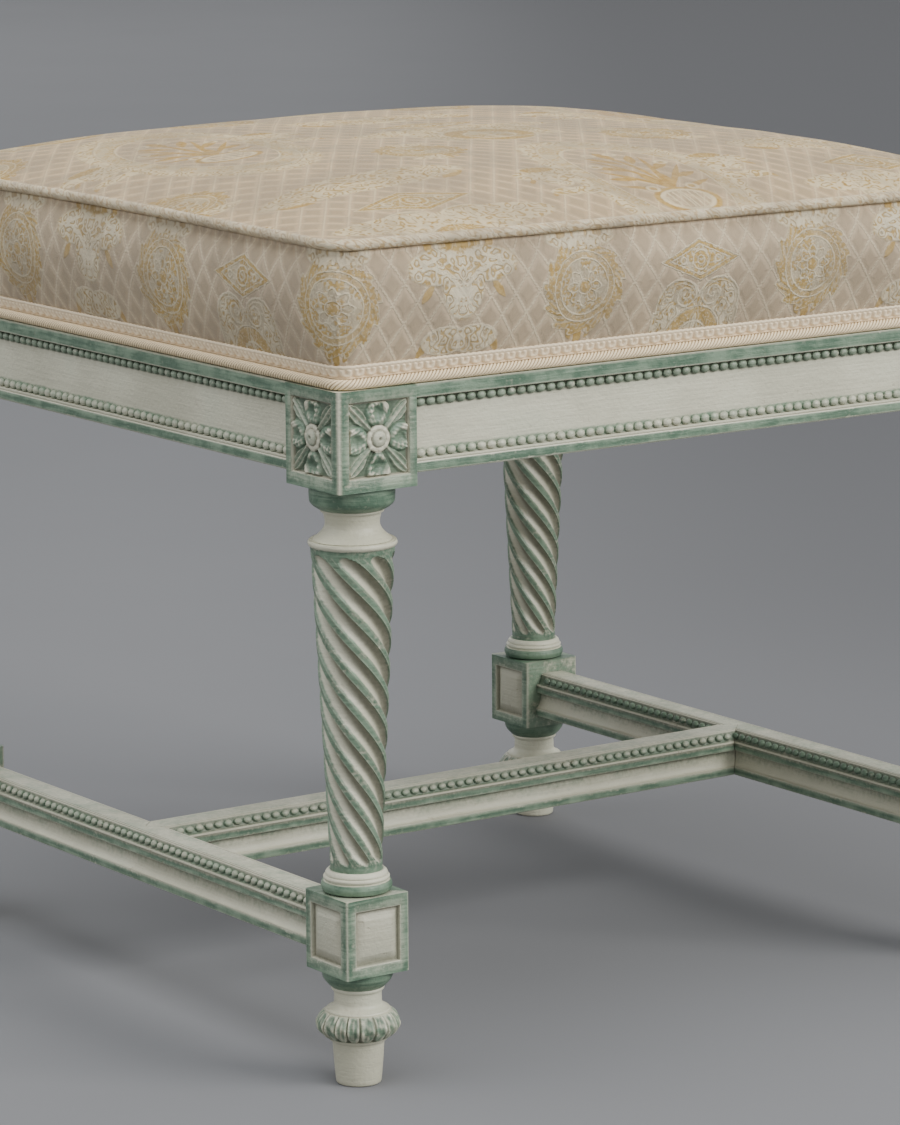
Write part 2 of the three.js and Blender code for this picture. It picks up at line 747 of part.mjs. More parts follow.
// A strap along X that goes over and under the straps across it. It lies on the rails at both ends.
function strapSolid(row, across) {
  const flat = strapWidth / 2 + frame.gap;
  const ease = strapPitch - 2 * flat;
  const places = Array.from({ length: webbing.count }, (_, place) => webbingPlace(place));
  const levels = places.map((_, place) => ((row + place) % 2 === across ? webbingLift : -webbingLift));
  const first = places[0] - flat - ease;
  const path = [[-strapEnd, 0], [first, 0]];
  places.forEach((place, order) => {
    path.push([place - flat, levels[order]], [place + flat, levels[order]]);
  });
  path.push([-first, 0], [strapEnd, 0]);
  const half = webbing.thickness / 2;
  const edge = (side) => path.map(([along, level]) => [along, webbingMiddle + level + side * half]);
  const outline = [...edge(-1), ...edge(1).reverse()];
  const geometry = new THREE.ExtrudeGeometry(shapeOf(outline), { depth: strapWidth, bevelEnabled: false });
  geometry.rotateX(quarterTurn);
  geometry.translate(0, webbingPlace(row) + strapWidth / 2, 0);
  return solidOf(geometry);
}

function webbingPlace(place) {
  return (place - (webbing.count - 1) / 2) * strapPitch;
}

function hessianSolid() {
  const outline = chamferedSquare(strapEnd, tacking.cornerChamfer);
  return upright(outline, hessianBottom, hessianBottom + hessian.thickness);
}

// The stuffed seat. Heights in this part are above the ledge.

// A rounded square through a half width, anticlockwise from above, with its sides bowed outwards.
// A share below 1 draws it in towards the middle, and lift gives each point's height.
function outlineRing(halfWidth, bow, share, lift) {
  const radius = cushion.cornerRadius + halfWidth - hemHalfWidth;
  const centre = halfWidth - radius;
  const corner = evenSteps(0, quarterTurn, cushion.cornerSteps).map((angle) => [
    centre + radius * Math.cos(angle),
    centre + radius * Math.sin(angle)
  ]);
  const side = evenSteps(centre, -centre, cushion.sideSteps).slice(1, -1).map((along) => [
    along,
    halfWidth + bow * (1 - (along / centre) ** 2)
  ]);
  const points = [];
  for (let quarter = 0; quarter < 4; quarter += 1) {
    const cos = Math.round(Math.cos(quarter * quarterTurn));
    const sin = Math.round(Math.sin(quarter * quarterTurn));
    for (const [a, b] of [...corner, ...side]) {
      const x = share * (a * cos - b * sin);
      const y = share * (a * sin + b * cos);
      points.push(new THREE.Vector3(x, y, ledgeHeight + lift(x, y)));
    }
  }
  return points;
}

function levelRing(halfWidth, height, bow = 0) {
  return outlineRing(halfWidth, bow, 1, () => height);
}

const between = (from, to, share) => from + (to - from) * share;

// Share of the way from the gimp up to the seam.
function wallShare(height) {
  return Math.max((height - cushion.gimpTop) / (cushion.seam - cushion.gimpTop), 0);
}

// Outer half width of the boxing: straight behind the cord and the gimp, swelling above them.
function boxingHalfWidth(height) {
  if (height <= cordTop) {
    return between(hemHalfWidth, cordTopHalfWidth, height / cordTop);
  }
  if (height <= cushion.gimpTop) {
    const share = (height - cordTop) / (cushion.gimpTop - cordTop);
    return between(cordTopHalfWidth, gimpTopHalfWidth, share);
  }
  const share = wallShare(height);
  const straight = between(gimpTopHalfWidth, seamHalfWidth, share);
  return straight + cushion.sideSwell * Math.sin(Math.PI * share);
}

function wallRing(height, inset) {
  const bow = cushion.sideBow * Math.sin(Math.PI * Math.min(wallShare(height), 1));
  return levelRing(boxingHalfWidth(height) - inset, height, bow);
}

// The crown is a product of two powers, level along the welt and steepest beside it.
function crownHeight(x, y) {
  const fall = (place) => 1 - Math.min(Math.abs(place) / coverHalfWidth, 1) ** cushion.crownPower;
  return cushion.seam + cushion.coverRise + cushion.crown * fall(x) * fall(y);
}

function crownRings(drop) {
  const lift = (x, y) => crownHeight(x, y) - drop;
  return cushion.crownRingShares.map((share) => outlineRing(coverHalfWidth, 0, share, lift));
}

function middlePoint(height) {
  return new THREE.Vector3(0, 0, ledgeHeight + height);
}

function stuffingSolid() {
  const edge = cushion.seam - cushion.stuffingEase;
  const inset = cushion.clothThickness + frame.gap;
  const walls = evenSteps(stuffingBottom, edge, cushion.wallSteps).map((height) => wallRing(height, inset));
  const drop = cushion.clothThickness + frame.gap;
  const top = crownRings(drop).reverse();
  return solidOf(skin([...walls, ...top], middlePoint(stuffingBottom), middlePoint(crownHeight(0, 0) - drop)));
}

function topCoverSolid() {
  const under = crownRings(cushion.clothThickness);
  const over = crownRings(0).reverse();
  const middle = crownHeight(0, 0);
  return solidOf(skin([...under, ...over], middlePoint(middle - cushion.clothThickness), middlePoint(middle)));
}

function boxingSolid() {
  const upper = evenSteps(cushion.gimpTop, cushion.seam, cushion.wallSteps);
  const heights = [frame.gap, cordTop, ...upper];
  const outside = heights.map((height) => wallRing(height, 0));
  const inside = heights.map((height) => wallRing(height, cushion.clothThickness)).reverse();
  return solidOf(skin([...outside, ...inside]));
}

// A round cord laid along the outline.
function cordSolid(halfWidth, height, radius, sides) {
  const rings = Array.from({ length: sides }, (_, side) => {
    const angle = (2 * Math.PI * side) / sides - quarterTurn;
    return levelRing(halfWidth + radius * Math.cos(angle), height + radius * Math.sin(angle));
  });
  return solidOf(skin(rings));
}

function twistedCordSolid() {
  const bed = boxingHalfWidth(cordTop / 2) + frame.gap + cord.radius;
  return cordSolid(bed, frame.gap + cord.radius, cord.radius, cord.sides);
}

function weltSolid() {
  return cordSolid(weltHalfWidth, cushion.seam + frame.gap + welt.radius, welt.radius, welt.sides);
}

// A flat braid on the boxing, just above the cord.
function gimpSolid() {
  const middle = (cordTop + cushion.gimpTop) / 2;
  const inner = (height) => boxingHalfWidth(height) + frame.gap;
  const outer = (height, belly) => inner(height) + gimp.thickness + belly;
  return solidOf(skin([
    levelRing(inner(cordTop), cordTop),
    levelRing(outer(cordTop, 0), cordTop),
    levelRing(outer(middle, gimp.belly), middle),
    levelRing(outer(cushion.gimpTop, 0), cushion.gimpTop),
    levelRing(inner(cushion.gimpTop), cushion.gimpTop)
  ]));
}

// Materials

function finish(color, roughness, metalness = 0) {
  return new THREE.MeshStandardMaterial({ color, roughness, metalness });
}

const paint = finish(0xb9b7a8, 0.62);
const bareWood = finish(0xa58560, 0.8);
const pegWood = finish(0x8a6a48, 0.75);
const steel = finish(0x8b8a85, 0.45, 0.9);
const jute = finish(0xa98f68, 0.95);
const sacking = finish(0xb69c74, 0.97);
const horsehair = finish(0x6e5c46, 1);
const silk = finish(0xc4bcaa, 0.5);
const braid = finish(0xd3bca4, 0.8);

// Assembly

const tabouret = new THREE.Group();

function place(name, solid, material, quarters = 0) {
  const mesh = new THREE.Mesh(geometryOf(solid), material);
  mesh.name = name;
  mesh.rotation.z = quarters * quarterTurn;
  tabouret.add(mesh);
  return mesh;
}

// Corners and sides go round anticlockwise from the front left corner and the front side.
const corners = ['front_left', 'front_right', 'back_right', 'back_left'];
const sides = ['front', 'right', 'back', 'left'];

// The side stretchers run from front to back, so they enter neighbouring legs on different faces.
corners.forEach((corner, quarters) => {
  const stretcherQuarters = quarters % 2 === 0 ? 2 : 1;
  const leg = place(`leg_${corner}`, legSolid(stretcherQuarters), paint, quarters);
  const turn = quarters * quarterTurn;
  leg.position.set(-legAxis, -legAxis, 0).applyAxisAngle(new THREE.Vector3(0, 0, 1), turn);
  pegBars(0, 0).forEach((peg, order) => {
    const mesh = place(`rail_peg_${corner}_${order + 1}`, peg, pegWood, quarters);
    mesh.position.copy(leg.position);
  });
});

sides.forEach((side, quarters) => place(`rail_${side}`, railSolid(), paint, quarters));

corners.forEach((corner, quarters) => {
  place(`corner_block_${corner}`, cornerBlockSolid(), bareWood, quarters);
  screwBars(screwProfile()).forEach((bar, order) => {
    place(`corner_screw_${corner}_${order + 1}`, bar, steel, quarters);
  });
});

place('stretcher_left', sideStretcherSolid(), paint, 3);
place('stretcher_right', sideStretcherSolid(), paint, 1);
place('stretcher_cross', crossStretcherSolid(), paint);
[['left', -1], ['right', 1]].forEach(([side, sign]) => {
  const start = new THREE.Vector3(sign * crossPegPlace, 0, stretcherBottom);
  const peg = plainBar(crossPeg.radius, crossPeg.length, start, new THREE.Vector3(0, 0, 1));
  place(`cross_peg_${side}`, peg, pegWood);
});

for (let row = 0; row < webbing.count; row += 1) {
  place(`webbing_across_${row + 1}`, strapSolid(row, 0), jute);
  place(`webbing_along_${row + 1}`, strapSolid(row, 0), jute, 1);
}
place('hessian_base', hessianSolid(), sacking);
place('seat_stuffing', stuffingSolid(), horsehair);
place('seat_top_cover', topCoverSolid(), silk);
place('seat_boxing', boxingSolid(), silk);
place('welt_piping', weltSolid(), silk);
place('gimp_braid', gimpSolid(), braid);
place('twisted_cord', twistedCordSolid(), braid);

export default tabouret;
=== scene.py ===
"""A square painted tabouret with twist-fluted legs, an H stretcher and a silk seat, seen as in its photograph."""

import math

import bmesh
import bpy
import numpy as np
from mathutils import Matrix


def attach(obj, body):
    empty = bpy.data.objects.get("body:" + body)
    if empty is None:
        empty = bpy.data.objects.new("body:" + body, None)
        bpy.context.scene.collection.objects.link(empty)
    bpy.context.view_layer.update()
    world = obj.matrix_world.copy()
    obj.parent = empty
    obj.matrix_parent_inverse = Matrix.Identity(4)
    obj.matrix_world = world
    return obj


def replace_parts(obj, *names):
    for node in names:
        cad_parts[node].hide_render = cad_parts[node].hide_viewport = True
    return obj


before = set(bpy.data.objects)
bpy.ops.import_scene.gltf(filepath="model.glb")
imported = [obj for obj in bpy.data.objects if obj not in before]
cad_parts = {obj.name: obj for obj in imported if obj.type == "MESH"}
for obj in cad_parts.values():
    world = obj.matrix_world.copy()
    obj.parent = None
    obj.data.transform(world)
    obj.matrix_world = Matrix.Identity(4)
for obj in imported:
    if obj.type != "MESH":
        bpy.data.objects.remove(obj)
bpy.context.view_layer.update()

# Sizes in millimetres, as the solids have them

LEG_AXIS = 211.35
UPPER_HALF, UPPER_CHAMFER = 24.35, 2.8
LOWER_HALF, LOWER_CHAMFER = 19.9, 1.6
LOWER_BLOCK = (61.9, 104.2)
SHAFT = (116.2, 288.1)
UPPER_BLOCK = (320.0, 372.7)
LEDGE = 372.7
TACKING_TOP = 384.0
TACKING_FACE, TACKING_CHAMFER = 227.3, 9.0
FLUTES, LEAD, START_TURN = 8, 135.0, -0.03
SHAFT_RADII, PLAIN_ENDS, FLUTE_END = (13.6, 22.0), (3.6, 2.6), 6.0
FLUTE_HALF = 0.36  # as a share of the way from flute to flute
PETAL, BUTTON, RING = (6.3, 13.0), 4.3, 7.2
RAIL_SHOULDER, RAIL_BOTTOM, RAIL_FACE, RAIL_BACK = 186.7, 326.6, 234.5, 206.5
STRETCHER_SHOULDER, STRETCHER_BOTTOM, STRETCHER_TOP = 191.15, 69.55, 96.55
PEARL_PITCH, BEAD_LINE = 6.4, 9.9
SEAM, GIMP_TOP, CORD_TOP, COVER_RISE = 72.0, 14.4, 6.2, 4.6
HEM_HALF, CORNER = 229.2, 5.0
COVER_HALF, WELT_HALF, WELT_RADIUS = 235.0, 238.2, 2.9
CROWN = 24.0
CORD_RADIUS = 2.8
ROUNDEL_PITCH, ROUNDEL_START, ROUNDEL_UP = 153.3, -2.0, 43.0
TOP_COLUMN, TOP_REPEAT = 155.0, 424.0
FIELD_STEPS = (-0.5, 0, 0.35, 1.0, 5.3, 5.9)
FIELD_DEPTHS = (0, -0.2, -2.4, -2.4, -0.4, -0.2)
QUARTER_TURNS = ((1, 0), (0, 1), (-1, 0), (0, -1))


# Surfaces

def smooth(value, low, high):
    """Smooth step: three times the square less twice the cube of the clipped share of the way."""
    share = np.clip((value - low) / (high - low), 0, 1)
    return share * share * (3 - 2 * share)


def hump(value, centre, width):
    """Bell curve: e to the power of minus the square of the distance over the width."""
    return np.exp(-(((value - centre) / width) ** 2))


def fine(lines, step):
    """Rising lines with even steps no longer than the given one put in between them."""
    lines = np.unique(np.round(lines, 4))
    parts = [np.linspace(a, b, max(int(np.ceil((b - a) / step)), 1) + 1)[:-1] for a, b in zip(lines, lines[1:])]
    return np.concatenate(parts + [lines[-1:]])


def stacked(*parts):
    """Points or masks from their parts, each spread to the shape that they share."""
    return np.stack(np.broadcast_arrays(*parts), -1)


def four_corners(values):
    """What stands at the four corners of each face, from values [..., rows, columns, kinds]."""
    first, last = values[..., :-1, :, :], values[..., 1:, :, :]
    return np.stack([first[..., :-1, :], first[..., 1:, :], last[..., 1:, :], last[..., :-1, :]], -2)


class Shape:
    """Grids gathered into one mesh, with the masks green, hollow and edge on its points."""

    def __init__(self):
        self.points, self.masks, self.quads, self.flats, self.kinds, self.polygons = [], [], [], [], [], []
        self.count = 0

    def grid(self, points, masks=(0, 0, 0), around=False, flat=None, kind=0):
        """Four-cornered faces over points [..., rows, columns, 3], with their masks, their places on the flat
        cloth and their material's number. around closes each row into a ring. Gives the points' numbers."""
        numbers = self.count + np.arange(points.size // 3).reshape(points.shape[:-1])
        self.count += numbers.size
        self.points.append(points.reshape(-1, 3))
        self.masks.append(np.broadcast_to(masks, points.shape).reshape(-1, 3))
        ring = np.concatenate([numbers, numbers[..., :1]], -1) if around else numbers
        flat = np.zeros(ring.shape + (2,)) if flat is None else flat
        self.quads.append(four_corners(ring[..., None]).reshape(-1, 4))
        self.flats.append(four_corners(flat).reshape(-1, 2))
        self.kinds.append(np.full(len(self.quads[-1]), kind))
        return numbers

    def bar(self, points, masks=(0, 0, 0), around=True):
        """A grid with a flat face over its first row and one over its last."""
        numbers = self.grid(points, masks, around)
        self.polygons += [numbers[0].tolist(), numbers[-1].tolist()]

    def join(self, other, quarters=0, move=(0, 0, 0)):
        """Takes in another shape, turned about the upright axis by quarters and then moved."""
        cos, sin = QUARTER_TURNS[quarters % 4]
        turn = np.array([[cos, sin, 0], [-sin, cos, 0], [0, 0, 1.0]])
        self.points += [points @ turn + np.array(move) for points in other.points]
        self.masks += other.masks
        self.quads += [quads + self.count for quads in other.quads]
        self.flats += other.flats
        self.kinds += other.kinds
        self.polygons += [[n + self.count for n in polygon] for polygon in other.polygons]
        self.count += other.count

    def piece(self, name, materials, slot, sharp=32):
        """A mesh object in metres, with doubles merged, normals outwards and edges sharp past an angle."""
        mesh = bpy.data.meshes.new(name)
        quads = np.concatenate(self.quads)
        mesh.from_pydata(np.concatenate(self.points) * 0.001, [], quads.tolist() + self.polygons)
        flats = np.zeros((len(mesh.loops), 2))
        flats[: quads.size] = np.concatenate(self.flats) * 0.001
        mesh.uv_layers.new(name="cloth").data.foreach_set("uv", flats.ravel())
        kinds = np.zeros(len(mesh.polygons), dtype=np.int32)
        kinds[: len(quads)] = np.concatenate(self.kinds)
        mesh.polygons.foreach_set("material_index", kinds)
        masks = np.concatenate(self.masks).astype(np.float32)
        for column, mask in enumerate(("green", "hollow", "edge")):
            mesh.attributes.new(mask, "FLOAT", "POINT").data.foreach_set("value", masks[:, column].copy())
        tidy = bmesh.new()
        tidy.from_mesh(mesh)
        bmesh.ops.remove_doubles(tidy, verts=tidy.verts, dist=2e-6)
        bmesh.ops.recalc_face_normals(tidy, faces=tidy.faces)
        tidy.to_mesh(mesh)
        tidy.free()
        mesh.shade_smooth()
        mesh.set_sharp_from_angle(angle=math.radians(sharp))
        for material in materials:
            mesh.materials.append(material)
        made = bpy.data.objects.new(name, mesh)
        bpy.context.scene.collection.objects.link(made)
        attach(made, "root")
        return made


def turned(mouldings, level):
    """Radius, height and green share down a stack of mouldings. Each bulges or hollows by half a wave."""
    radii, heights, greens = [], [], []
    for height, start, end, swell, steps, green in mouldings:
        share = np.linspace(0, 1, steps + 1)
        radii.append(start + (end - start) * share + swell * np.sin(np.pi * share))
        heights.append(level + height * share)
        greens.append(np.full(steps + 1, green))
        level += height
    return np.concatenate(radii), np.concatenate(heights), np.concatenate(greens)


def pearls(shape, centres, radii, tilt=0.0, shade_and_soil=0.2, green=0.6):
    """Egg-shaped beads: every centre plus the same small globe, tilted about the row's own axis. Their foot is
    darkened with painted shade and dirt by the amount given, green is how much green is rubbed over them, and
    their tops are worn pale, which also stands for a painted highlight."""
    lift, around = np.linspace(-np.pi / 2, np.pi / 2, 7)[:, None], np.linspace(0, 2 * np.pi, 11)[:-1]
    globe = stacked(np.cos(lift) * np.cos(around) * radii[0], -np.sin(lift) * radii[1],
                    np.cos(lift) * np.sin(around) * radii[2])
    turn = np.array([[1, 0, 0], [0, np.cos(tilt), np.sin(tilt)], [0, -np.sin(tilt), np.cos(tilt)]])
    sunk = 1 - smooth(np.sin(lift), 0.0, 0.8)
    # Painted shade and dirt darken the foot. The worn pale top is also a painted highlight.
    masks = stacked(green + 0.2 * sunk, shade_and_soil * sunk, 0.3 * (1 - sunk))
    shape.grid(centres[:, None, None] + globe @ turn, masks, around=True)


# The legs

# Mouldings: height, first and last radius, swell, steps and share of green

FOOT = [
    (0.8, 11.0, 12.0, 0.15, 3, 0.1), (23.1, 12.0, 13.8, 0.15, 14, 0.03), (1.7, 15.4, 15.6, 0.35, 5, 0.0),
    (13.9, 17.2, 17.6, 4.4, 28, 0.3), (1.3, 17.0, 16.6, 0.3, 4, 0.0), (4.2, 16.2, 12.6, -1.2, 8, 0.0),
    (6.0, 12.6, 12.5, 0, 4, 0.0), (1.9, 13.7, 13.7, 0.4, 5, 0.0), (9.0, 14.2, 18.8, 1.6, 9, 0.95),
    (1.0, 18.8, 18.8, 0, 1, 0.5),
]
COLLAR, LEAVES = (25.6, 39.5), 18
RINGS = [(0.9, 15.0, 17.6, 0, 1, 0.9), (5.1, 17.9, 18.1, 0.8, 8, 0.95), (1.0, 17.2, 17.2, -0.4, 3, 0.2),
         (2.0, 17.2, 16.8, 0.5, 5, 0.0), (0.5, 16.5, 16.5, -0.3, 2, 0.2), (2.5, 16.5, 14.9, 0.4, 5, 0.0)]
NECK = [
    (0.5, 22.2, 22.8, 0, 1, 0.4), (2.7, 22.8, 22.8, 0.5, 7, 0.0), (0.6, 21.9, 21.9, -0.4, 2, 0.0),
    (11.9, 20.6, 14.8, -2.8, 16, 0.0), (2.5, 14.8, 15.2, 0, 2, 0.0), (1.4, 16.5, 16.5, 0.3, 4, 0.0),
    (4.2, 17.2, 22.2, 0.9, 8, 0.9), (7.9, 22.2, 22.3, 0.25, 4, 0.95),
]
ACROSS = np.array([-0.5, -0.43, -0.385, -0.365, -0.35, -0.32, -0.26, -0.18, -0.09, 0, 0.09, 0.18, 0.26, 0.32, 0.35,
                   0.365, 0.385, 0.43])


def flute_ends(height):
    """How far a height lies past the flutes' rounded ends: 0 on the plain ends, 1 from 6 mm inside them."""
    low = (height - SHAFT[0] - PLAIN_ENDS[0]) / FLUTE_END
    high = (SHAFT[1] - PLAIN_ENDS[1] - height) / FLUTE_END
    return np.clip(np.minimum(low, high), 0, 1)


def shaft_and_mouldings(shape):
    """Rings, shaft and neck in one turned surface, whose columns turn once in each lead down the shaft. A flute
    is hollow by 1 - (x - 0.22 (1 - x²))² - e² to the power 0.7, where x runs across it from -1 to 1, so that
    its deepest place leans up the shaft, and e runs into its end."""
    rings, neck = turned(RINGS, LOWER_BLOCK[1]), turned(NECK, SHAFT[1])
    first, last = SHAFT[0] + PLAIN_ENDS[0], SHAFT[1] - PLAIN_ENDS[1]
    ends = [SHAFT[0], first, first + FLUTE_END, last - FLUTE_END, last, SHAFT[1]]
    rows = np.unique(np.concatenate([fine(ends[:3], 0.75), fine(ends[2:4], 1.5), fine(ends[3:], 0.75)]))
    plain = SHAFT_RADII[0] + (SHAFT_RADII[1] - SHAFT_RADII[0]) * ((rows - SHAFT[0]) / (SHAFT[1] - SHAFT[0]))
    low, high = LOWER_BLOCK[1] - 1, UPPER_BLOCK[0] + 1
    z = np.concatenate([[low, low], rings[1], rows, neck[1], [high, high]])[:, None]
    radii = np.concatenate([[0, rings[0][0]], rings[0], plain, neck[0], [neck[0][-1], 0]])[:, None]
    greens = np.concatenate([[0, 0], rings[2], np.full(len(rows), -1), neck[2], [0, 0]])[:, None]
    fluted = greens < 0
    across, flute = np.tile(ACROSS, FLUTES), np.repeat(np.arange(FLUTES), len(ACROSS))
    turn = START_TURN + (SHAFT[1] - np.clip(z, *SHAFT)) / LEAD
    angle = 2 * np.pi * (turn + (flute + across) / FLUTES)
    x, end = across / FLUTE_HALF, (1 - flute_ends(z)) ** 2
    inside = np.clip(1 - x**2 - end, 0, 1) * fluted
    leaning = np.clip(1 - (x - 0.22 * (1 - x**2)) ** 2 - end, 0, 1) * (inside > 0)
    radius = radii - 0.185 * radii * leaning**0.7
    land = 0.72 * (1 - smooth(inside, 0.04, np.clip(0.42 - 0.40 * x, 0.30, 0.78)))
    # Painted shade with some dirt on the flank of each flute that faces down, away from the light (x > 0).
    shade_and_dirt = 0.80 * fluted * smooth(x, -0.50, 0.50) * smooth(inside, 0.0, 0.10)
    rim = 0.3 * fluted * hump(np.abs(x), 1.08, 0.07) * (flute_ends(z) > 0)
    points = stacked(radius * np.cos(angle), radius * np.sin(angle), z)
    shape.grid(points, stacked(np.where(fluted, land, greens), shade_and_dirt, rim), around=True)


def foot(shape):
    """The turned foot. Lobed leaves hang round its collar: each has raised edges, a sunk middle and a rounded
    lower end, where the half width is a quarter ellipse of the height."""
    radii, heights, greens = turned(FOOT, 0)
    radii = np.concatenate([[0], radii, [radii[-1], 0]])[:, None]
    z = np.concatenate([[0], heights, [LOWER_BLOCK[0] + 1.1] * 2])[:, None]
    greens = np.concatenate([[0], greens, [0, 0]])[:, None]
    angle = np.linspace(0, 2 * np.pi, LEAVES * 13 + 1)[:-1]
    up = (z - COLLAR[0]) / (COLLAR[1] - COLLAR[0])
    on = ((z > COLLAR[0] + 0.01) & (z < COLLAR[1] - 0.01)).astype(float)
    u = np.abs(np.mod(angle / (2 * np.pi) * LEAVES + 0.06 * np.sin(5 * angle), 1) - 0.5)
    half = 0.47 * np.sqrt(np.clip(1 - (np.clip(0.30 - up, 0, 1) / 0.30) ** 2, 0.0, 1))
    share = u / np.maximum(half, 0.02)
    body = 1 - smooth(share, 0.90, 1.06)
    rim = hump(share, 0.78, 0.16) * body
    heart = body * (1 - smooth(share, 0.35, 0.7)) * smooth(up, 0.10, 0.3) * (1 - smooth(up, 0.86, 0.98))
    vein = hump(u, 0, 0.035) * heart
    lump = np.sin(31 * angle + 5 * up) * np.sin(13 * angle - 9 * up) * body
    radius = radii + on * (1.35 * body + 0.28 * rim - 0.35 * heart + 0.25 * vein + 0.34 * lump - 1.0)
    pit = on * (1 - body)
    wash = 0.74 + 0.14 * np.sin(7 * angle + 1) * np.sin(3 * angle)
    green = greens * (1 - on) + on * np.clip(wash * (0.72 * body + 0.25 * heart) + 0.5 * pit, 0, 1)
    edge = on * np.clip(0.6 * rim + vein + lump, 0, 1) * 0.5
    points = stacked(radius * np.cos(angle), radius * np.sin(angle), z)
    # The pits between the leaves and the leaves' sunk middles are darkened with painted shade.
    shape.grid(points, stacked(green, 0.85 * pit + 0.2 * heart, edge), around=True)


def petal(along, across, fan):
    """A cupped leaf from 6.3 to 19.3 mm out: its relief, its body, its oval cup and the folded crest round the
    cup. Its half width is a quarter ellipse of the way out as far as the middle, turned towards a straight fan
    by a share, and a flatter ellipse beyond."""
    p, q = np.clip((along - PETAL[0]) / PETAL[1], 0, 1), np.abs(across)
    round_end = 8.1 * np.sqrt(np.clip(1 - (np.clip(0.52 - p, 0, 1) / 0.52) ** 2, 0, 1))
    width = (1 - fan) * round_end + fan * (1.2 + 8.6 * p)
    width = width * np.sqrt(np.clip(1 - (np.clip(p - 0.62, 0, 1) / 0.42) ** 2, 0.02, 1)) ** (1 - 0.7 * fan)
    share = q / np.maximum(width, 0.1)
    body = (1 - smooth(share, 0.84, 1.06)) * smooth(along, 6.2, 7.0) * (1 - smooth(along, 19.0, 19.6))
    far = np.hypot((p - 0.60) * PETAL[1] / 4.9, q / (4.4 + 2.4 * fan))
    bend = np.arctan2(across, (p - 0.60) * PETAL[1])
    cup = hump(far, 0, 0.55) * body
    folds = 0.62 + 0.38 * np.sin(7 * bend + 0.8 * along)
    crest = hump(far, 1.05 + 0.14 * np.sin(3 * bend + along), 0.40) * (0.55 + 0.45 * smooth(p, 0.25, 0.7)) * body
    notch = hump(q, 0, 0.75) * smooth(p, 0.78, 0.95) * body
    ruffle = np.sin(across * 1.9 + p * 5) * np.sin(p * 11 + across * 0.9) * crest
    belly = hump(p, 0.26, 0.2) * np.sqrt(np.clip(1 - share**2, 0, 1))
    raised_body = body * (1.05 + 1.15 * crest + 0.55 * belly + 0.55 * ruffle + 0.35 * (folds - 0.6) * crest)
    relief = raised_body - 1.5 * cup - 0.9 * notch
    return relief, body, np.clip(cup + 0.7 * notch, 0, 1), np.clip(crest * folds + 0.5 * ruffle, 0, 1)


def rosette(u, v):
    """Relief over the recess floor, and its masks: a domed button with a dimple in a slightly lobed ring, four
    cupped petals along the axes, the lowest spread like a fan, and four darts with three ribs each that run
    between them into the corners."""
    r = np.hypot(u, v) + 1e-6
    across = [petal(np.abs(u), v, 0.15), petal(v, u, 0.0), petal(-v, u, 0.85)]
    height, body, cup, crest = (np.maximum(np.maximum(a, b), c) for a, b, c in zip(*across))
    along, aside = (np.abs(u) + np.abs(v)) / np.sqrt(2), np.abs(np.abs(u) - np.abs(v)) / np.sqrt(2)
    width = np.interp(along, [5, 9, 17, 22, 26], [1.4, 1.8, 4.0, 3.6, 1.5])
    dart = (1 - smooth(aside / width, 0.8, 1.1)) * (along < 26) * (r > 6)
    rib = np.clip(hump(aside, 0, 0.65) + 0.7 * hump(aside / width, 0.78, 0.16) * smooth(along, 11, 15), 0, 1)
    spike = dart * (0.55 + 1.25 * rib)
    button = 1.3 + 2.1 * np.sqrt(np.clip(1 - (r / 4.5) ** 2, 0, 1)) - 1.5 * hump(r, 0, 0.8)
    lobes = 0.88 + 0.12 * np.cos(9 * np.arctan2(v, u))
    ring = 1.3 * lobes * np.sqrt(np.clip(1 - ((r - 5.6) / 1.7) ** 2, 0, 1)) + 0.5
    inner, outer = (r < BUTTON).astype(float), (r > RING).astype(float)
    relief = np.where(r < BUTTON, button, np.maximum(np.where(r < RING, ring, height), spike))
    bare = (1 - np.clip(body + dart, 0, 1)) * outer
    rough = 0.5 + 0.5 * np.sin(u * 1.3 + 2) * np.sin(v * 1.1 + 1)
    wash = outer * (0.72 + 0.2 * rough) * (1 - 0.5 * crest) + 0.5 * inner + 0.15 * (r > BUTTON) * (1 - outer)
    green = np.clip(0.95 * cup + 0.85 * bare + wash, 0, 1)
    # The bare recess floor, the seams round ring and button, and the cups are darkened with painted shade.
    seams = 0.7 * hump(r, 7.3, 0.45) + 0.7 * hump(r, 4.35, 0.35) + 0.8 * hump(r, 0, 0.7)
    high = outer * np.maximum(crest * 0.78, dart * (0.25 + 0.5 * rib)) + 0.3 * (1 - outer)
    return relief, green, np.clip(0.5 * bare + seams + 0.3 * cup, 0, 1), np.clip(high, 0, 1)


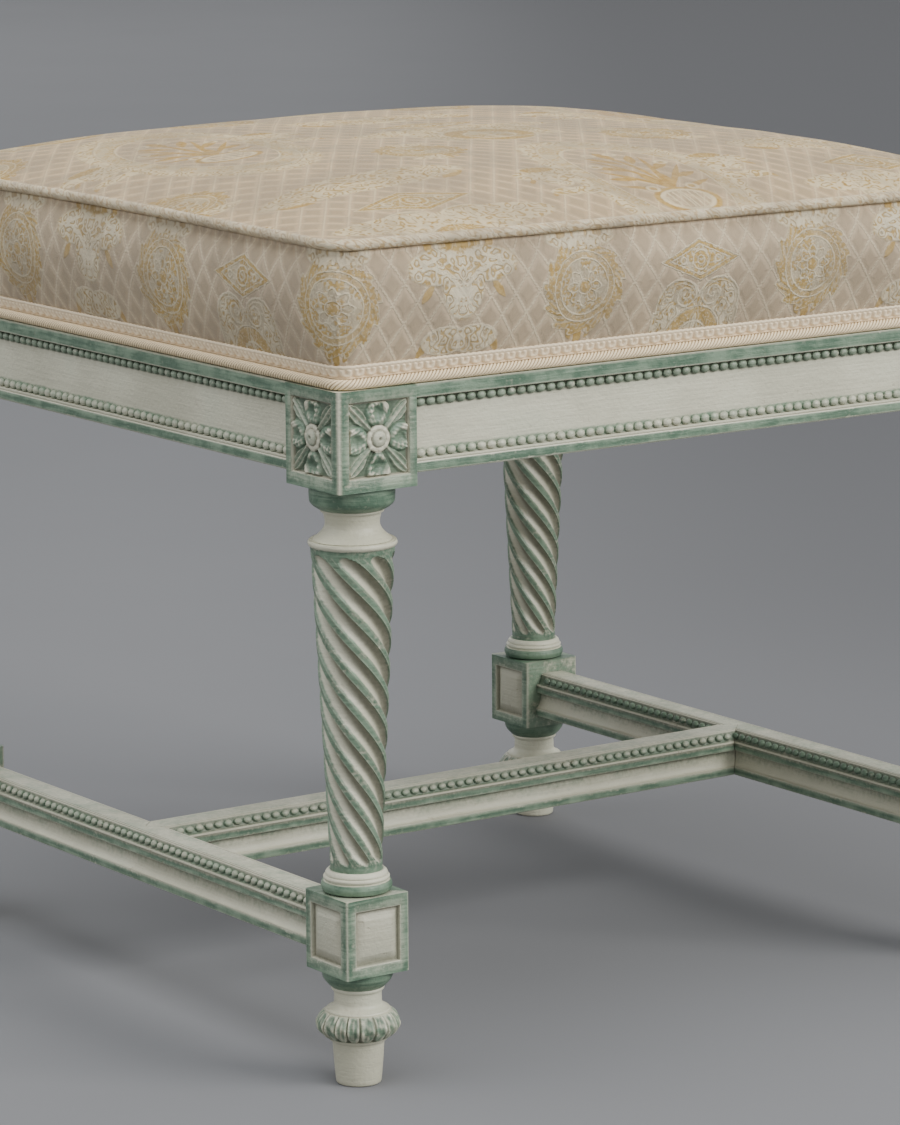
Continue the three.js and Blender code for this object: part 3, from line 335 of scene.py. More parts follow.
def rosette_side(mirrored):
    """A side of the upper block: its recess sinks 2.4 mm, and the rosette stands in it. Gives its upright
    lines, its relief and its level lines."""
    near, far = -UPPER_HALF + 6.8, UPPER_HALF - 4.4
    low, high = UPPER_BLOCK[0] + 6.8, UPPER_BLOCK[1] - 6.0
    sign = -1 if mirrored else 1

    def relief(u, z):
        u = u * sign
        inside = np.minimum(np.minimum(u - near, far - u), np.minimum(z - low, high - z))
        depth = np.interp(inside, [-0.5, 0, 0.6], [0, -0.25, -2.4])
        height, green, dark, raised_part = rosette(u - (near + far) / 2, z - (low + high) / 2)
        within = smooth(inside, 0.5, 1.4)
        rim = np.clip(hump(inside, -0.4, 0.5) + hump(inside, 0.9, 0.5), 0, 1)
        # The second mask also lays a line of painted shadow along the foot of the recess wall.
        masks = [0.95 * (1 - smooth(inside, -0.2, 0.3)) + green * within,
                 dark * within + 0.8 * hump(inside, 0.75, 0.35), raised_part * within + 0.5 * rim]
        return depth + height * within, masks

    steps = (-0.5, 0, 0.6, 1.4)
    across, up = ([a + e for e in steps] + [b - e for e in steps] for a, b in ((near, far), (low, high)))
    return fine([sign * e for e in across], 0.42), relief, fine(up, 0.42)


def plain_side(u, z):
    """A side with no relief."""
    return 0 * (u + z), [0.6 + 0 * (u + z), 0 * (u + z), 0 * (u + z)]


def field_borders():
    """The half width of the lower block's sinking, and its lower and upper heights."""
    return LOWER_HALF - 6.0, LOWER_BLOCK[0] + 6.2, LOWER_BLOCK[1] - 6.2


def field_side(u, z):
    """A side of the lower block: a sinking 2.4 mm deep round a raised field with bevelled sides, the lowest
    of them darkened with painted shade."""
    border, low, high = field_borders()
    inside = np.minimum(border - np.abs(u), np.minimum(z - low, high - z))
    depth = np.interp(inside, FIELD_STEPS, FIELD_DEPTHS)
    foot_bevel = (z - low < inside + 0.01) * smooth(inside, 0.8, 1.4) * (1 - smooth(inside, 4.9, 5.6))
    green = 0.95 * (1 - smooth(inside, -0.4, 0.2))
    # Painted shade along the foot of the sinking's wall and on the lowest bevel; the whole panel is a little darker.
    dark = 0.9 * hump(inside, 0.6, 0.45) + 0.26 * smooth(inside, 0.5, 1.0) + 0.22 * foot_bevel
    return depth, [green, dark, 0.7 * hump(inside, -0.35, 0.35) + 0.5 * hump(inside, 5.5, 0.5)]


def block(shape, half, heights, chamfers, sides):
    """A square block: its four sides in one ring of columns, pushed in or out by each side's relief,
    with flat ends. Each corner is rounded off over its chamfer, with one worn column in its middle."""
    columns, masks = [], []
    z = heights[:, None]
    for quarter, (lines, relief) in enumerate(sides):
        cut = chamfers[(quarter + 1) % 4]
        start, end = -half + chamfers[quarter], half - cut
        inner = lines[(lines > start + 0.5) & (lines < end - 0.5)]
        u = np.unique(np.concatenate([[start, start + 0.5, end - 0.5, end], inner]))
        depth, kinds = relief(u + 0 * z, z + 0 * u)
        cos, sin = QUARTER_TURNS[quarter]
        out = -(half + depth)
        columns.append(stacked(u * cos - out * sin, u * sin + out * cos, z))
        kinds[2] = np.clip(kinds[2] + 0.2 * np.clip(hump(u, start, 0.35) + hump(u, end, 0.35), 0, 1), 0, 1)
        masks.append(stacked(*kinds))
        if cut:
            tip = half - 0.35 * cut
            columns.append(stacked(tip * (cos + sin), tip * (sin - cos), z))
            masks.append(np.broadcast_to((0.72 if cut < 2 else 0.42, 0.0, 0.6), z.shape + (3,)))
    shape.bar(np.concatenate(columns, 1), np.concatenate(masks, 1))


def tacking_post(shape):
    """The post behind the ledge: a square with its outer corner cut off."""
    low = LEG_AXIS - TACKING_FACE
    cut = low + TACKING_CHAMFER
    plan = np.array([(cut, low), (UPPER_HALF, low), (UPPER_HALF, UPPER_HALF), (low, UPPER_HALF), (low, cut)])
    heights = np.array([UPPER_BLOCK[1] - 0.5, TACKING_TOP])[:, None]
    shape.bar(stacked(plan[:, 0], plan[:, 1], heights))


def leg(stretcher_side):
    """A whole leg about its own axis, with its outer corner towards -X and -Y."""
    shape = Shape()
    foot(shape)
    shaft_and_mouldings(shape)
    bare = np.zeros(0), plain_side
    border, low, high = field_borders()
    steps = (*FIELD_STEPS, 3.0)
    across = np.unique([s * (border - e) for e in steps for s in (-1, 1)])
    heights = np.unique([*LOWER_BLOCK] + [low + e for e in steps] + [high - e for e in steps])
    sides = [bare if k == stretcher_side else (across, field_side) for k in range(4)]
    block(shape, LOWER_HALF, heights, [LOWER_CHAMFER] * 4, sides)
    front, side = rosette_side(False), rosette_side(True)
    heights = np.unique(np.concatenate([UPPER_BLOCK, front[2]]))
    block(shape, UPPER_HALF, heights, [UPPER_CHAMFER, 0, 0, 0], [front[:2], bare, bare, side[:2]])
    tacking_post(shape)
    return shape


# Rails and stretchers

def rail():
    """The front rail: its section carried along X between the legs, with two rows of pearls in its channels."""
    face, frieze = -RAIL_FACE, -RAIL_FACE + 2.9
    # The hollow column darkens the grooves, and with painted shade the channel of the upper pearls under the fillet.
    section = np.array([  # across, height, green, hollow, edge
        (-RAIL_BACK, RAIL_BOTTOM, 0.3, 0, 0), (face + 0.7, RAIL_BOTTOM, 0.6, 0, 0.5),
        (face, RAIL_BOTTOM + 0.7, 0.8, 0, 0.6), (face - 0.05, RAIL_BOTTOM + 1.2, 0.95, 0, 0.1),
        (face - 0.1, RAIL_BOTTOM + 2.8, 0.97, 0, 0), (face, 331.2, 0.95, 0, 0.1),
        (face + 0.1, 331.7, 0.7, 0, 0.4), (face + 0.4, 332.1, 0.3, 0, 0.9), (face + 0.95, 332.25, 0.1, 0.8, 0),
        (face + 0.9, 332.7, 0, 0.2, 0.6), (face + 0.9, 333.3, 0, 0, 0.9), (face + 1.3, 333.6, 0, 0.2, 0),
        (frieze - 0.2, 333.75, 0.3, 0.5, 0), (frieze, 334.2, 0.5, 0.3, 0), (frieze, 336.1, 0.6, 0.15, 0),
        (frieze, 338.2, 0.5, 0.08, 0), (frieze, 338.9, 0.35, 0.03, 0), (frieze, 339.9, 0.12, 0.05, 0.2),
        (frieze - 0.1, 345, 0.04, 0, 0), (frieze - 0.15, 350, 0.03, 0, 0), (frieze - 0.1, 355, 0.05, 0, 0),
        (frieze, 359.8, 0.1, 0.1, 0.1), (frieze, 360.5, 0.4, 0.5, 0), (frieze, 362.9, 0.8, 0.9, 0),
        (frieze, 364.9, 0.6, 1, 0), (frieze - 0.3, 365.4, 0.4, 1, 0), (face + 0.5, 365.5, 0.4, 0.5, 0.4),
        (face, 366.0, 0.7, 0, 0.6), (face - 0.05, 366.6, 0.95, 0, 0.1), (face - 0.1, 369.2, 0.97, 0, 0),
        (face - 0.05, 371.4, 0.95, 0, 0.08), (face, 372.1, 0.8, 0, 0.4), (face + 0.6, LEDGE, 0.5, 0, 0.4),
        (-TACKING_FACE, LEDGE, 0, 0.6, 0), (-TACKING_FACE, TACKING_TOP, 0, 0, 0), (-RAIL_BACK, TACKING_TOP, 0, 0, 0),
    ])
    shape = Shape()
    x = np.linspace(-RAIL_SHOULDER, RAIL_SHOULDER, 25)[:, None]
    shape.bar(stacked(x, section[:, 0], section[:, 1]), section[:, 2:])
    count = int(2 * RAIL_SHOULDER / PEARL_PITCH)
    along = (np.arange(count) - (count - 1) / 2) * PEARL_PITCH
    # The upper row, under the fillet, is darkened far more at its foot: painted shade.
    for height, shade_and_soil, green in ((336.15, 0.12, 0.5), (362.95, 0.8, 0.8)):
        pearls(shape, stacked(along, frieze + 0.1, height), (3.15, 2.5, 2.55), shade_and_soil=shade_and_soil, green=green)
    return shape


def stretcher_half():
    """Half of the section from the top's middle out and round to the bottom's middle: half width, height and
    masks. The cove is a quarter ellipse."""
    # The hollow column darkens the channels by the pearls, and with painted shade the groove over the cove.
    top = [(0, STRETCHER_TOP, 0.30, 0, 0), (5.9, STRETCHER_TOP, 0.34, 0, 0), (6.2, 96.1, 0.5, 0.8, 0),
           (6.5, 96.5, 0.3, 0.1, 0.5), (7.3, 96.5, 0.3, 0.1, 0.3), (7.6, 95.9, 0.5, 0.8, 0),
           (7.9, 96.2, 0.3, 0.2, 0.5), (8.5, 96.0, 0.3, 0.2, 0.4), (8.7, 95.2, 0.5, 0.5, 0), (9.4, 93.0, 0.7, 0.35, 0),
           (10.4, 90.6, 0.6, 0.4, 0), (11.8, 90.1, 0.4, 0.3, 0), (12.3, 89.8, 0, 0, 0.8), (12.3, 89.1, 0, 0, 0.6),
           (12.05, 88.8, 0.3, 0.7, 0), (12.15, 86.6, 0.95, 0, 0), (12.2, 84.9, 0.9, 0, 0.4),
           (11.9, 84.45, 0.5, 0.2, 0.4), (9.6, 84.4, 0.3, 0.9, 0)]
    a = np.linspace(0.06, np.pi / 2, 9)
    # The cove is darkened towards its top, which faces down: painted shade.
    cove = stacked(12.4 - 3.3 * np.cos(a), 84.3 - 9.5 * np.sin(a), 0.45 - 0.28 * a, 0.42 - 0.35 * a, 0.25 * a)
    base = [(12.95, 74.65, 0.1, 0.3, 0.7), (13.0, 74.2, 0.6, 0, 0.4), (13.05, 72.0, 0.95, 0, 0),
            (13.0, 70.0, 0.85, 0, 0.3), (12.6, STRETCHER_BOTTOM, 0.5, 0, 0.3), (0, STRETCHER_BOTTOM, 0.2, 0, 0)]
    return np.concatenate([top, cove, base])


def half_bar(shape, side, centre, start, end, steps=14):
    """Half of a moulded bar along X. start and end give each section point's first and last place along it."""
    section = stretcher_half()
    wide = section[:, 0]
    x = start(wide) + (end(wide) - start(wide)) * np.linspace(0, 1, steps + 1)[:, None]
    shape.bar(stacked(x, centre + side * wide, section[:, 1]), section[:, 2:], around=False)


def side_stretcher():
    """A side stretcher along X, with its inner half stopped on two mitres that meet at its middle line."""
    shape = Shape()
    reach = lambda sign: (lambda wide: sign * STRETCHER_SHOULDER + 0 * wide)
    mitre = lambda sign: (lambda wide: sign * wide)
    half_bar(shape, -1, -LEG_AXIS, reach(-1), reach(1), 28)
    half_bar(shape, 1, -LEG_AXIS, reach(-1), mitre(-1))
    half_bar(shape, 1, -LEG_AXIS, mitre(1), reach(1))
    inner = BEAD_LINE + PEARL_PITCH * np.arange(28)
    bead_row(shape, (np.arange(59) - 29) * PEARL_PITCH, -LEG_AXIS - BEAD_LINE, -1)
    bead_row(shape, np.concatenate([inner, -inner]), -LEG_AXIS + BEAD_LINE, 1)
    return shape


def bead_row(shape, along, across, side):
    """Pearls in the channel on a stretcher's upper edge, tilted outwards."""
    pearls(shape, stacked(along, across, 92.9), (2.75, 1.95, 2.1), tilt=0.6 * side)


def cross_stretcher():
    """The cross stretcher, whose two ends come to a point between the side stretchers' mitres."""
    shape = Shape()
    tip, reach = LEG_AXIS - 0.45, LEG_AXIS - BEAD_LINE
    for side in (-1, 1):
        half_bar(shape, side, 0, lambda wide: wide - tip, lambda wide: tip - wide)
        bead_row(shape, np.linspace(-reach, reach, 64)[1:-1], side * BEAD_LINE, side)
    return shape


# The seat

def outline(half, radius, bow, straight=108, corner=14):
    """A rounded square in plan, [rows, columns, 2]. It starts and ends in the middle of the back right corner
    and runs over the back, left, front and right sides. Each side bows by 1 less the square of its place."""
    half, radius, bow = (np.atleast_1d(v).astype(float)[:, None] for v in (half, radius, bow))
    centre = half - radius
    first, last = (np.linspace(a, a + np.pi / 4, corner + 1)[:-1] for a in (np.pi / 4, np.pi / 2))
    along = np.linspace(1, -1, straight + 1)[:-1]
    x = np.concatenate([centre + radius * np.cos(first), centre * along, -centre + radius * np.cos(last)], 1)
    y = np.concatenate([centre + radius * np.sin(first), half + bow * (1 - along**2) + 0 * centre,
                        centre + radius * np.sin(last)], 1)
    return np.concatenate([stacked(x, y), stacked(-y, x), stacked(-x, -y), stacked(y, -x)], 1)


def lengths(ring):
    """Distance along a closed ring of points [columns, 2], measured from its middle column."""
    steps = np.linalg.norm(np.diff(np.concatenate([ring, ring[:1]]), axis=0), axis=1)
    total = np.concatenate([[0], np.cumsum(steps)])
    return total - total[len(ring) // 2]


def seam_lift(columns):
    """How the seam rises and dips round the seat: a smooth curve through measured heights."""
    places = np.arange(columns + 1) / columns
    known = [0, 0.125, 0.25, 0.375, 0.5, 0.56, 0.625, 0.75, 0.875, 1]
    heights = [0, 0.8, 0.4, 3.0, 0.0, -0.5, -1.0, -1.6, 0.6, 0]
    lift = np.interp(places[:-1], known, heights)
    width = max(columns // 24, 1)
    padded = np.concatenate([lift[-width:], lift, lift[:width]])
    return np.convolve(padded, np.ones(2 * width + 1) / (2 * width + 1), "valid")


def puckers(s, seed):
    """Small uneven gathers along a seam: a product of sines of unlike lengths, from 0 to 1."""
    wave = np.sin(s / 3.1 + seed) * np.sin(s / 7.7 + 2.1 * seed) + 0.6 * np.sin(s / 4.9 + 1.3 * seed) * np.sin(s / 19.0)
    return np.clip(0.5 + 0.5 * wave, 0, 1)


def boxing_half(height):
    """Half width of the boxing over its height: straight behind the trimmings, then swelling by half a wave
    and drawn in under the piping."""
    share = np.clip((height - GIMP_TOP) / (SEAM - GIMP_TOP), 0, 1)
    lower = np.interp(height, [0, CORD_TOP, GIMP_TOP, SEAM], [229.2, 230.4, 234.8, 239.0])
    return lower + 3.6 * np.sin(np.pi * share) - 2.4 * smooth(height, 58, SEAM) ** 1.5


def raised(plan, height):
    """Points from places in plan [..., 2] and heights over the ledge."""
    return np.concatenate([plan, np.broadcast_to(LEDGE + height, plan.shape[:-1])[..., None]], -1)


def cushion():
    """The stuffed seat as one closed form: boxing, the tuck under the piping, the crown and the underside.
    The crown is the product of 1 less the fourth power of each place over the half width."""
    shape = Shape()
    up = fine([0.3, CORD_TOP, GIMP_TOP, 52, 64, 70], 2.6)[:, None]
    half = boxing_half(up[:, 0])
    share = np.clip((up[:, 0] - GIMP_TOP) / (SEAM - GIMP_TOP), 0, 1)
    box = outline(half, CORNER + half - HEM_HALF, 2.4 * np.sin(np.pi * share))
    s = lengths(outline(239.0, 14.8, 0)[0])
    places, quarter = s[:-1], (s[-1] - s[0]) / 4
    lift = seam_lift(box.shape[1])
    gather = puckers(places, 1.0) * (0.5 + 0.5 * smooth(-np.abs(places + 240), -200, 0))
    fold = smooth(up, 44, 70) * gather * 0.9 + 0.25 * hump(up, 33, 20) * np.sin(places / 23)
    seam_ridge = 0.45 * hump(np.mod(places + quarter / 2, quarter) - quarter / 2, 0, 0.9)
    box = box - box / np.linalg.norm(box, axis=-1, keepdims=True) * (fold - seam_ridge)[..., None]
    side, flat = raised(box, up + lift * smooth(up, 8, SEAM)), stacked(s, up)
    shape.grid(side, around=True, flat=flat, kind=0)

    tuck_half = np.array([237.0, 235.2, 234.5, 234.6, 235.0])
    tuck_up = np.array([71.4, 72.6, 74.0, 75.6, SEAM + COVER_RISE])[:, None]
    tuck = raised(outline(tuck_half, CORNER + tuck_half - HEM_HALF, 0 * tuck_half), tuck_up + lift)
    join = np.concatenate([side[-1:], tuck])
    shape.grid(join, around=True, flat=np.repeat(flat[-1:], len(join), 0), kind=0)

    shares = 1 - np.linspace(0, 1, 60)[:, None] ** 1.5
    top = outline(COVER_HALF, CORNER + COVER_HALF - HEM_HALF, 0) * shares[..., None]
    x, y = top[..., 0], top[..., 1]
    fall = lambda place: 1 - np.clip(np.abs(place) / COVER_HALF, 0, 1) ** 4
    crown = CROWN * fall(x) * fall(y)
    soft = 0.45 * np.sin(x / 37 + 1) * np.sin(y / 29 + 2) + 0.25 * np.sin((x + y) / 17) * np.sin((x - 2 * y) / 41)
    gather = 0.5 * puckers(places, 4.0) * hump(shares, 0.985, 0.02)
    rise = crown + soft * np.clip(crown / 6, 0, 1) - gather + lift * shares**6
    plan = np.concatenate([top, top[:, :1]], 1)
    shape.grid(raised(top, SEAM + COVER_RISE + rise), around=True, flat=plan, kind=1)

    under_half = np.array([0.001, 120, 227.6, 227.6, 229.2])
    under_up = np.array([15.8, 15.8, 15.8, 0.3, 0.3])[:, None]
    under = raised(outline(under_half, np.minimum(3.4, under_half / 2), 0 * under_half), under_up)
    under[-1] = side[0]
    shape.grid(under, around=True, kind=2)
    return shape


def ring_path(half, count, bow=0.0):
    """Even points round the seat at a half width, with their outward directions and distances along it."""
    ring = outline(half, CORNER + half - HEM_HALF, bow, 216, 24)[0]
    closed = np.concatenate([ring, ring[:1]])
    s = lengths(ring)
    even = np.linspace(s[0], s[-1], count + 1)
    path = np.stack([np.interp(even, s, closed[:, 0]), np.interp(even, s, closed[:, 1])], -1)
    ahead = np.roll(path[:-1], -1, 0) - np.roll(path[:-1], 1, 0)
    ahead /= np.linalg.norm(ahead, axis=1, keepdims=True)
    return path[:-1], np.stack([ahead[:, 1], -ahead[:, 0]], -1), even


def welt():
    """Piping: a round cord along the seam, a little uneven in thickness."""
    shape = Shape()
    path, out, s = ring_path(WELT_HALF, 720)
    angle = np.linspace(0, 2 * np.pi, 15)[:-1, None]
    size = WELT_RADIUS * (1 + 0.025 * np.sin(s[:-1] / 9) + 0.02 * np.sin(s[:-1] / 4.3)) - 0.08
    height = SEAM + 0.3 + WELT_RADIUS + seam_lift(720) + size * np.sin(angle)
    points = raised(path + out * (size * np.cos(angle))[..., None], height)
    flat = stacked(s, np.linspace(0, 2 * np.pi * WELT_RADIUS, 15)[:, None])
    shape.grid(np.concatenate([points, points[:1]]), around=True, flat=flat)
    return shape


def gimp():
    """Looped braid. Each loop is two upright ridges joined in a U below; it leans back by a quarter
    of the pitch. The loops stand on a thin band with a fine chain along its upper edge."""
    shape = Shape()
    loops, per_loop = 253, 12
    foot_half = boxing_half(np.array(10.0))
    path, out, s = ring_path(foot_half.item(), loops * per_loop)
    turns = s[:-1] / (s[-1] - s[0]) * loops
    v = np.array([0, 0.03, 0.07, 0.11, 0.15, 0.2, 0.26, 0.34, 0.43, 0.52, 0.6, 0.66, 0.70, 0.74, 0.79, 0.85, 0.91,
                  0.96, 1])[:, None]
    u = np.abs(np.mod(turns + 0.27 * v, 1) - 0.5)
    half = 0.435 * np.sqrt(np.clip(1 - (np.clip(0.34 - v, 0, 1) / 0.19) ** 2, 0, 1))
    share = u / np.maximum(half, 0.02)
    zone = (1 - smooth(v, 0.66, 0.74)) * smooth(v, 0.13, 0.17)
    body = (1 - smooth(share, 0.80, 1.05)) * zone
    split = hump(u, 0, 0.12) * smooth(v, 0.30, 0.42) * zone
    chain = 0.5 + 0.5 * np.cos(2 * np.pi * (4 * turns + v * 3))
    edging = hump(v, 0.85, 0.10) * (0.55 + 0.3 * chain) + 0.35 * hump(v, 0.08, 0.06)
    relief = 0.6 + 1.2 * body * (1 - 0.35 * share**2) - 1.2 * split + edging
    low, high = CORD_TOP - 0.6, 13.2 + 0.18 * np.cos(4 * np.pi * turns)
    up = low + (high - low) * v
    base = boxing_half(up) + 0.25 - foot_half
    stand = lambda offset, height: raised(path + out * offset[..., None], height)
    face, back = stand(base + relief, up), stand(base[[-1, 0]], up[[-1, 0]])
    # The gaps between the loops, the slots between their ridges and the dips of the chain get painted shade.
    pit = (1 - body) * zone * 0.75 + 0.95 * split + 0.25 * hump(v, 0.74, 0.03)
    pit = np.clip(pit + 0.3 * (1 - chain) * hump(v, 0.86, 0.1) + 0.3 * hump(v, 0.13, 0.03), 0, 1)
    hollow = np.concatenate([pit, 0 * pit[:2], pit[:1]])
    shape.grid(np.concatenate([face, back, face[:1]]), stacked(0, hollow, 0), around=True)
    return shape


def rope():
    """Twisted cord of six strands: a round cord whose columns turn once in each lay. The radius
    is a fifth less in the grooves between the strands."""
    shape = Shape()
    turns, steps, strands = 137, 12, 6
    path, out, _ = ring_path(boxing_half(np.array(3.1)).item() + 0.25 + CORD_RADIUS, turns * steps)
    across = np.tile([-0.5, -0.4, -0.2, 0.0, 0.2, 0.4], strands)
    strand = np.repeat(np.arange(strands), 6)
    angle = 2 * np.pi * ((strand + across) / strands + np.arange(turns * steps)[:, None] / steps)
    groove = np.abs(across) * 2
    radius = CORD_RADIUS * (1 - 0.21 * groove**3)
    plan = path[:, None] + out[:, None] * (radius * np.cos(angle))[..., None]
    points = raised(plan, 0.3 + CORD_RADIUS + radius * np.sin(angle))
    # The grooves between the strands are darkened with painted shade.
    masks = stacked(0, smooth(groove, 0.5, 1.0), 0)
    shape.grid(np.concatenate([points, points[:1]]), masks, around=True)
    return shape


# Values in node trees

class Value:
    """A number over a surface, written as Math nodes in one tree."""

    def __init__(self, tree, socket):
        self.tree, self.socket = tree, socket

    def math(self, kind, *others):
        node = self.tree.nodes.new("ShaderNodeMath")
        node.operation = kind
        for place, item in zip(node.inputs, (self,) + others):
            put(self.tree, place, item)
        return Value(self.tree, node.outputs[0])

    def __add__(self, other):
        return self.math("ADD", other)

    def __sub__(self, other):
        return self.math("SUBTRACT", other)

    def __mul__(self, other):
        return self.math("MULTIPLY", other)

    def __truediv__(self, other):
        return self.math("DIVIDE", other)

    def less_from(self, whole):
        return (self * -1.0) + whole

    def low(self, other):
        return self.math("MINIMUM", other)

    def high(self, other):
        return self.math("MAXIMUM", other)

    def size(self):
        return self.math("ABSOLUTE")

    def step(self, low, high):
        """A smooth step from 0 at low to 1 at high."""
        node = self.tree.nodes.new("ShaderNodeMapRange")
        node.interpolation_type = "SMOOTHSTEP"
        put(self.tree, node.inputs[0], self)
        node.inputs[1].default_value, node.inputs[2].default_value = low, high
        return Value(self.tree, node.outputs[0])

    def line(self, centre, half, soft=0.3):
        """1 within half of the centre, falling smoothly to 0."""
        return (self - centre).size().step(half + soft, half - soft)


def put(tree, socket, item):
    """Links a value or a node's output to a socket, or sets the socket to a number or colour."""
    if isinstance(item, Value):
        tree.links.new(item.socket, socket)
    elif isinstance(item, bpy.types.NodeSocket):
        tree.links.new(item, socket)
    else:
        socket.default_value = item


class Layers:
    """The masks ground, pale and gold, each the highest of the strokes laid so far."""

    NAMES = ("Ground", "Pale", "Gold")

    def __init__(self):
        self.found = {}

    def lay(self, name, value):
        """Adds a stroke. It is taken in at once, so that few values wait at a time."""
        self.found[name] = self.found[name].high(value) if name in self.found else value

    def lay_all(self, figure):
        """Adds a whole figure's masks."""
        for name in self.NAMES:
            self.lay(name, figure[name])

    def masks(self):
        """Ground, pale and gold."""
        return [self.found[name] for name in self.NAMES]

    def lines(self, name, far, *rows):
        """Lays lines at distances, given as centre, half width and softness."""
        for row in rows:
            self.lay(name, far.line(*row))


def vector_math(tree, kind, first, second=None):
    """One Vector Math node and its output."""
    node = tree.nodes.new("ShaderNodeVectorMath")
    node.operation = kind
    put(tree, node.inputs[0], first)
    if second is not None:
        put(tree, node.inputs[1], second)
    return node.outputs["Value" if kind in ("LENGTH", "DOT_PRODUCT") else "Vector"]


def apart(tree, vector):
    """The X, Y and Z of a vector as values."""
    node = tree.nodes.new("ShaderNodeSeparateXYZ")
    put(tree, node.inputs[0], vector)
    return [Value(tree, out) for out in node.outputs]


def together(tree, x, y, z=0.0):
    """A vector from three values."""
    node = tree.nodes.new("ShaderNodeCombineXYZ")
    for socket, item in zip(node.inputs, (x, y, z)):
        put(tree, socket, item)
    return node.outputs[0]


def noise(tree, vector, scale, detail=3.0, stretch=None, rough=0.55):
    """Fractal noise of a vector, which may be stretched along its axes."""
    node = tree.nodes.new("ShaderNodeTexNoise")
    put(tree, node.inputs["Vector"], vector_math(tree, "MULTIPLY", vector, stretch) if stretch else vector)
    node.inputs["Scale"].default_value = scale
    node.inputs["Detail"].default_value = detail
    node.inputs["Roughness"].default_value = rough
    return Value(tree, node.outputs["Fac"])


def mix(tree, share, first, second):
    """One colour turned into another by a share."""
    node = tree.nodes.new("ShaderNodeMix")
    node.data_type = "RGBA"
    put(tree, node.inputs[0], share)
    put(tree, node.inputs[6], first if not isinstance(first, tuple) else (*first, 1))
    put(tree, node.inputs[7], second if not isinstance(second, tuple) else (*second, 1))
    return node.outputs[2]


def new_group(name, inputs, outputs):
    """An empty node group with named sockets, and its ends."""
    tree = bpy.data.node_groups.new(name, "ShaderNodeTree")
    for title, kind in inputs:
        tree.interface.new_socket(title, in_out="INPUT", socket_type=kind)
    for title, kind in outputs:
        tree.interface.new_socket(title, in_out="OUTPUT", socket_type=kind)
    start, end = tree.nodes.new("NodeGroupInput"), tree.nodes.new("NodeGroupOutput")
    return tree, start, end


def use(tree, group, **inputs):
    """Places a group in a tree and gives its outputs by name."""
    node = tree.nodes.new("ShaderNodeGroup")
    node.node_tree = group
    for title, item in inputs.items():
        put(tree, node.inputs[title], item)
    return {out.name: Value(tree, out) for out in node.outputs}


def new_material(name, **settings):
    """A material with a Principled shader whose plain sockets are set."""
    material = bpy.data.materials.new(name)
    material.use_nodes = True
    tree = material.node_tree
    shader = next(n for n in tree.nodes if n.type == "BSDF_PRINCIPLED")
    for title, item in settings.items():
        shader.inputs[title.replace("_", " ")].default_value = item
    return material, tree, shader


def bumped(tree, shader, height, distance, strength=1.0):
    """A Bump node from a height to the shader's normal."""
    node = tree.nodes.new("ShaderNodeBump")
    node.inputs["Strength"].default_value = strength
    node.inputs["Distance"].default_value = distance
    put(tree, node.inputs["Height"], height)
    tree.links.new(node.outputs[0], shader.inputs["Normal"])


def object_place(tree):
    """Object coordinates in metres."""
    return tree.nodes.new("ShaderNodeTexCoord").outputs["Object"]


def mask_of(tree, name):
    """A mask stored on the points."""
    node = tree.nodes.new("ShaderNodeAttribute")
    node.attribute_name = name
    return Value(tree, node.outputs["Fac"])


# Shared effects

def make_grain():
    """Fibres: noise drawn out along one axis. Place is in metres, Fineness sets the fibres' width."""
    tree, start, end = new_group("grain", [("Place", "NodeSocketVector"), ("Fineness", "NodeSocketFloat")],
                                 [("Fibre", "NodeSocketFloat")])
    node = tree.nodes.new("ShaderNodeTexNoise")
    tree.links.new(start.outputs["Place"], node.inputs["Vector"])
    tree.links.new(start.outputs["Fineness"], node.inputs["Scale"])
    node.inputs["Detail"].default_value = 5
    tree.links.new(node.outputs["Fac"], end.inputs[0])
    return tree


def make_weave():
    """Plain weave: the product of two waves that swap by half a pitch. Place is in threads."""
    tree, start, end = new_group("weave", [("Place", "NodeSocketVector")], [("Height", "NodeSocketFloat")])
    x, y, _ = apart(tree, start.outputs[0])
    turn = ((x + 1.0).math("FLOOR") + y.math("FLOOR")).math("MODULO", 2.0).size()
    over, under = (x * math.pi).math("SINE").size() * turn, (y * math.pi).math("SINE").size() * turn.less_from(1.0)
    put(tree, end.inputs[0], over.high(under))
    return tree


def leaf(tree, vector, centre, angle, length, width):
    """A leaf with two points, where two equal circles overlap. For half length l and half width w their middles
    lie k = (l² - w²) / 2w to each side, and their radius is k + w."""
    cos, sin = math.cos(math.radians(angle)), math.sin(math.radians(angle))
    aside = (length**2 - width**2) / (2 * width)
    dot = lambda x, y: Value(tree, vector_math(tree, "DOT_PRODUCT", vector, (x, y, 0)))
    along = dot(cos, sin) - (centre[0] * cos + centre[1] * sin)
    across = dot(-sin, cos) - (centre[1] * cos - centre[0] * sin)
    far = vector_math(tree, "LENGTH", together(tree, along, across.size() + aside))
    return Value(tree, far).step(aside + width + 0.3, aside + width - 0.3)


def round_spot(tree, vector, centre, width, height):
    """Distance from a centre, with 1 on an ellipse of the given half width and half height."""
    local = vector_math(tree, "SUBTRACT", vector, (*centre, 0))
    return Value(tree, vector_math(tree, "LENGTH", vector_math(tree, "DIVIDE", local, (width, height, 1))))


def scroll_field(tree, x, y, scale):
    """Noise whose contours are the scrollwork's lines. x is folded at each figure's axis, so both sides match."""
    return noise(tree, together(tree, x, y), scale, 0.8)


def curls(field):
    """Scrollwork: pale contours at three levels of a field, and gold ones between them."""
    pale = field.line(0.5, 0.055, 0.02).high(field.line(0.66, 0.045, 0.02)).high(field.line(0.34, 0.045, 0.02))
    return pale, field.line(0.585, 0.03, 0.015).high(field.line(0.42, 0.018, 0.012))


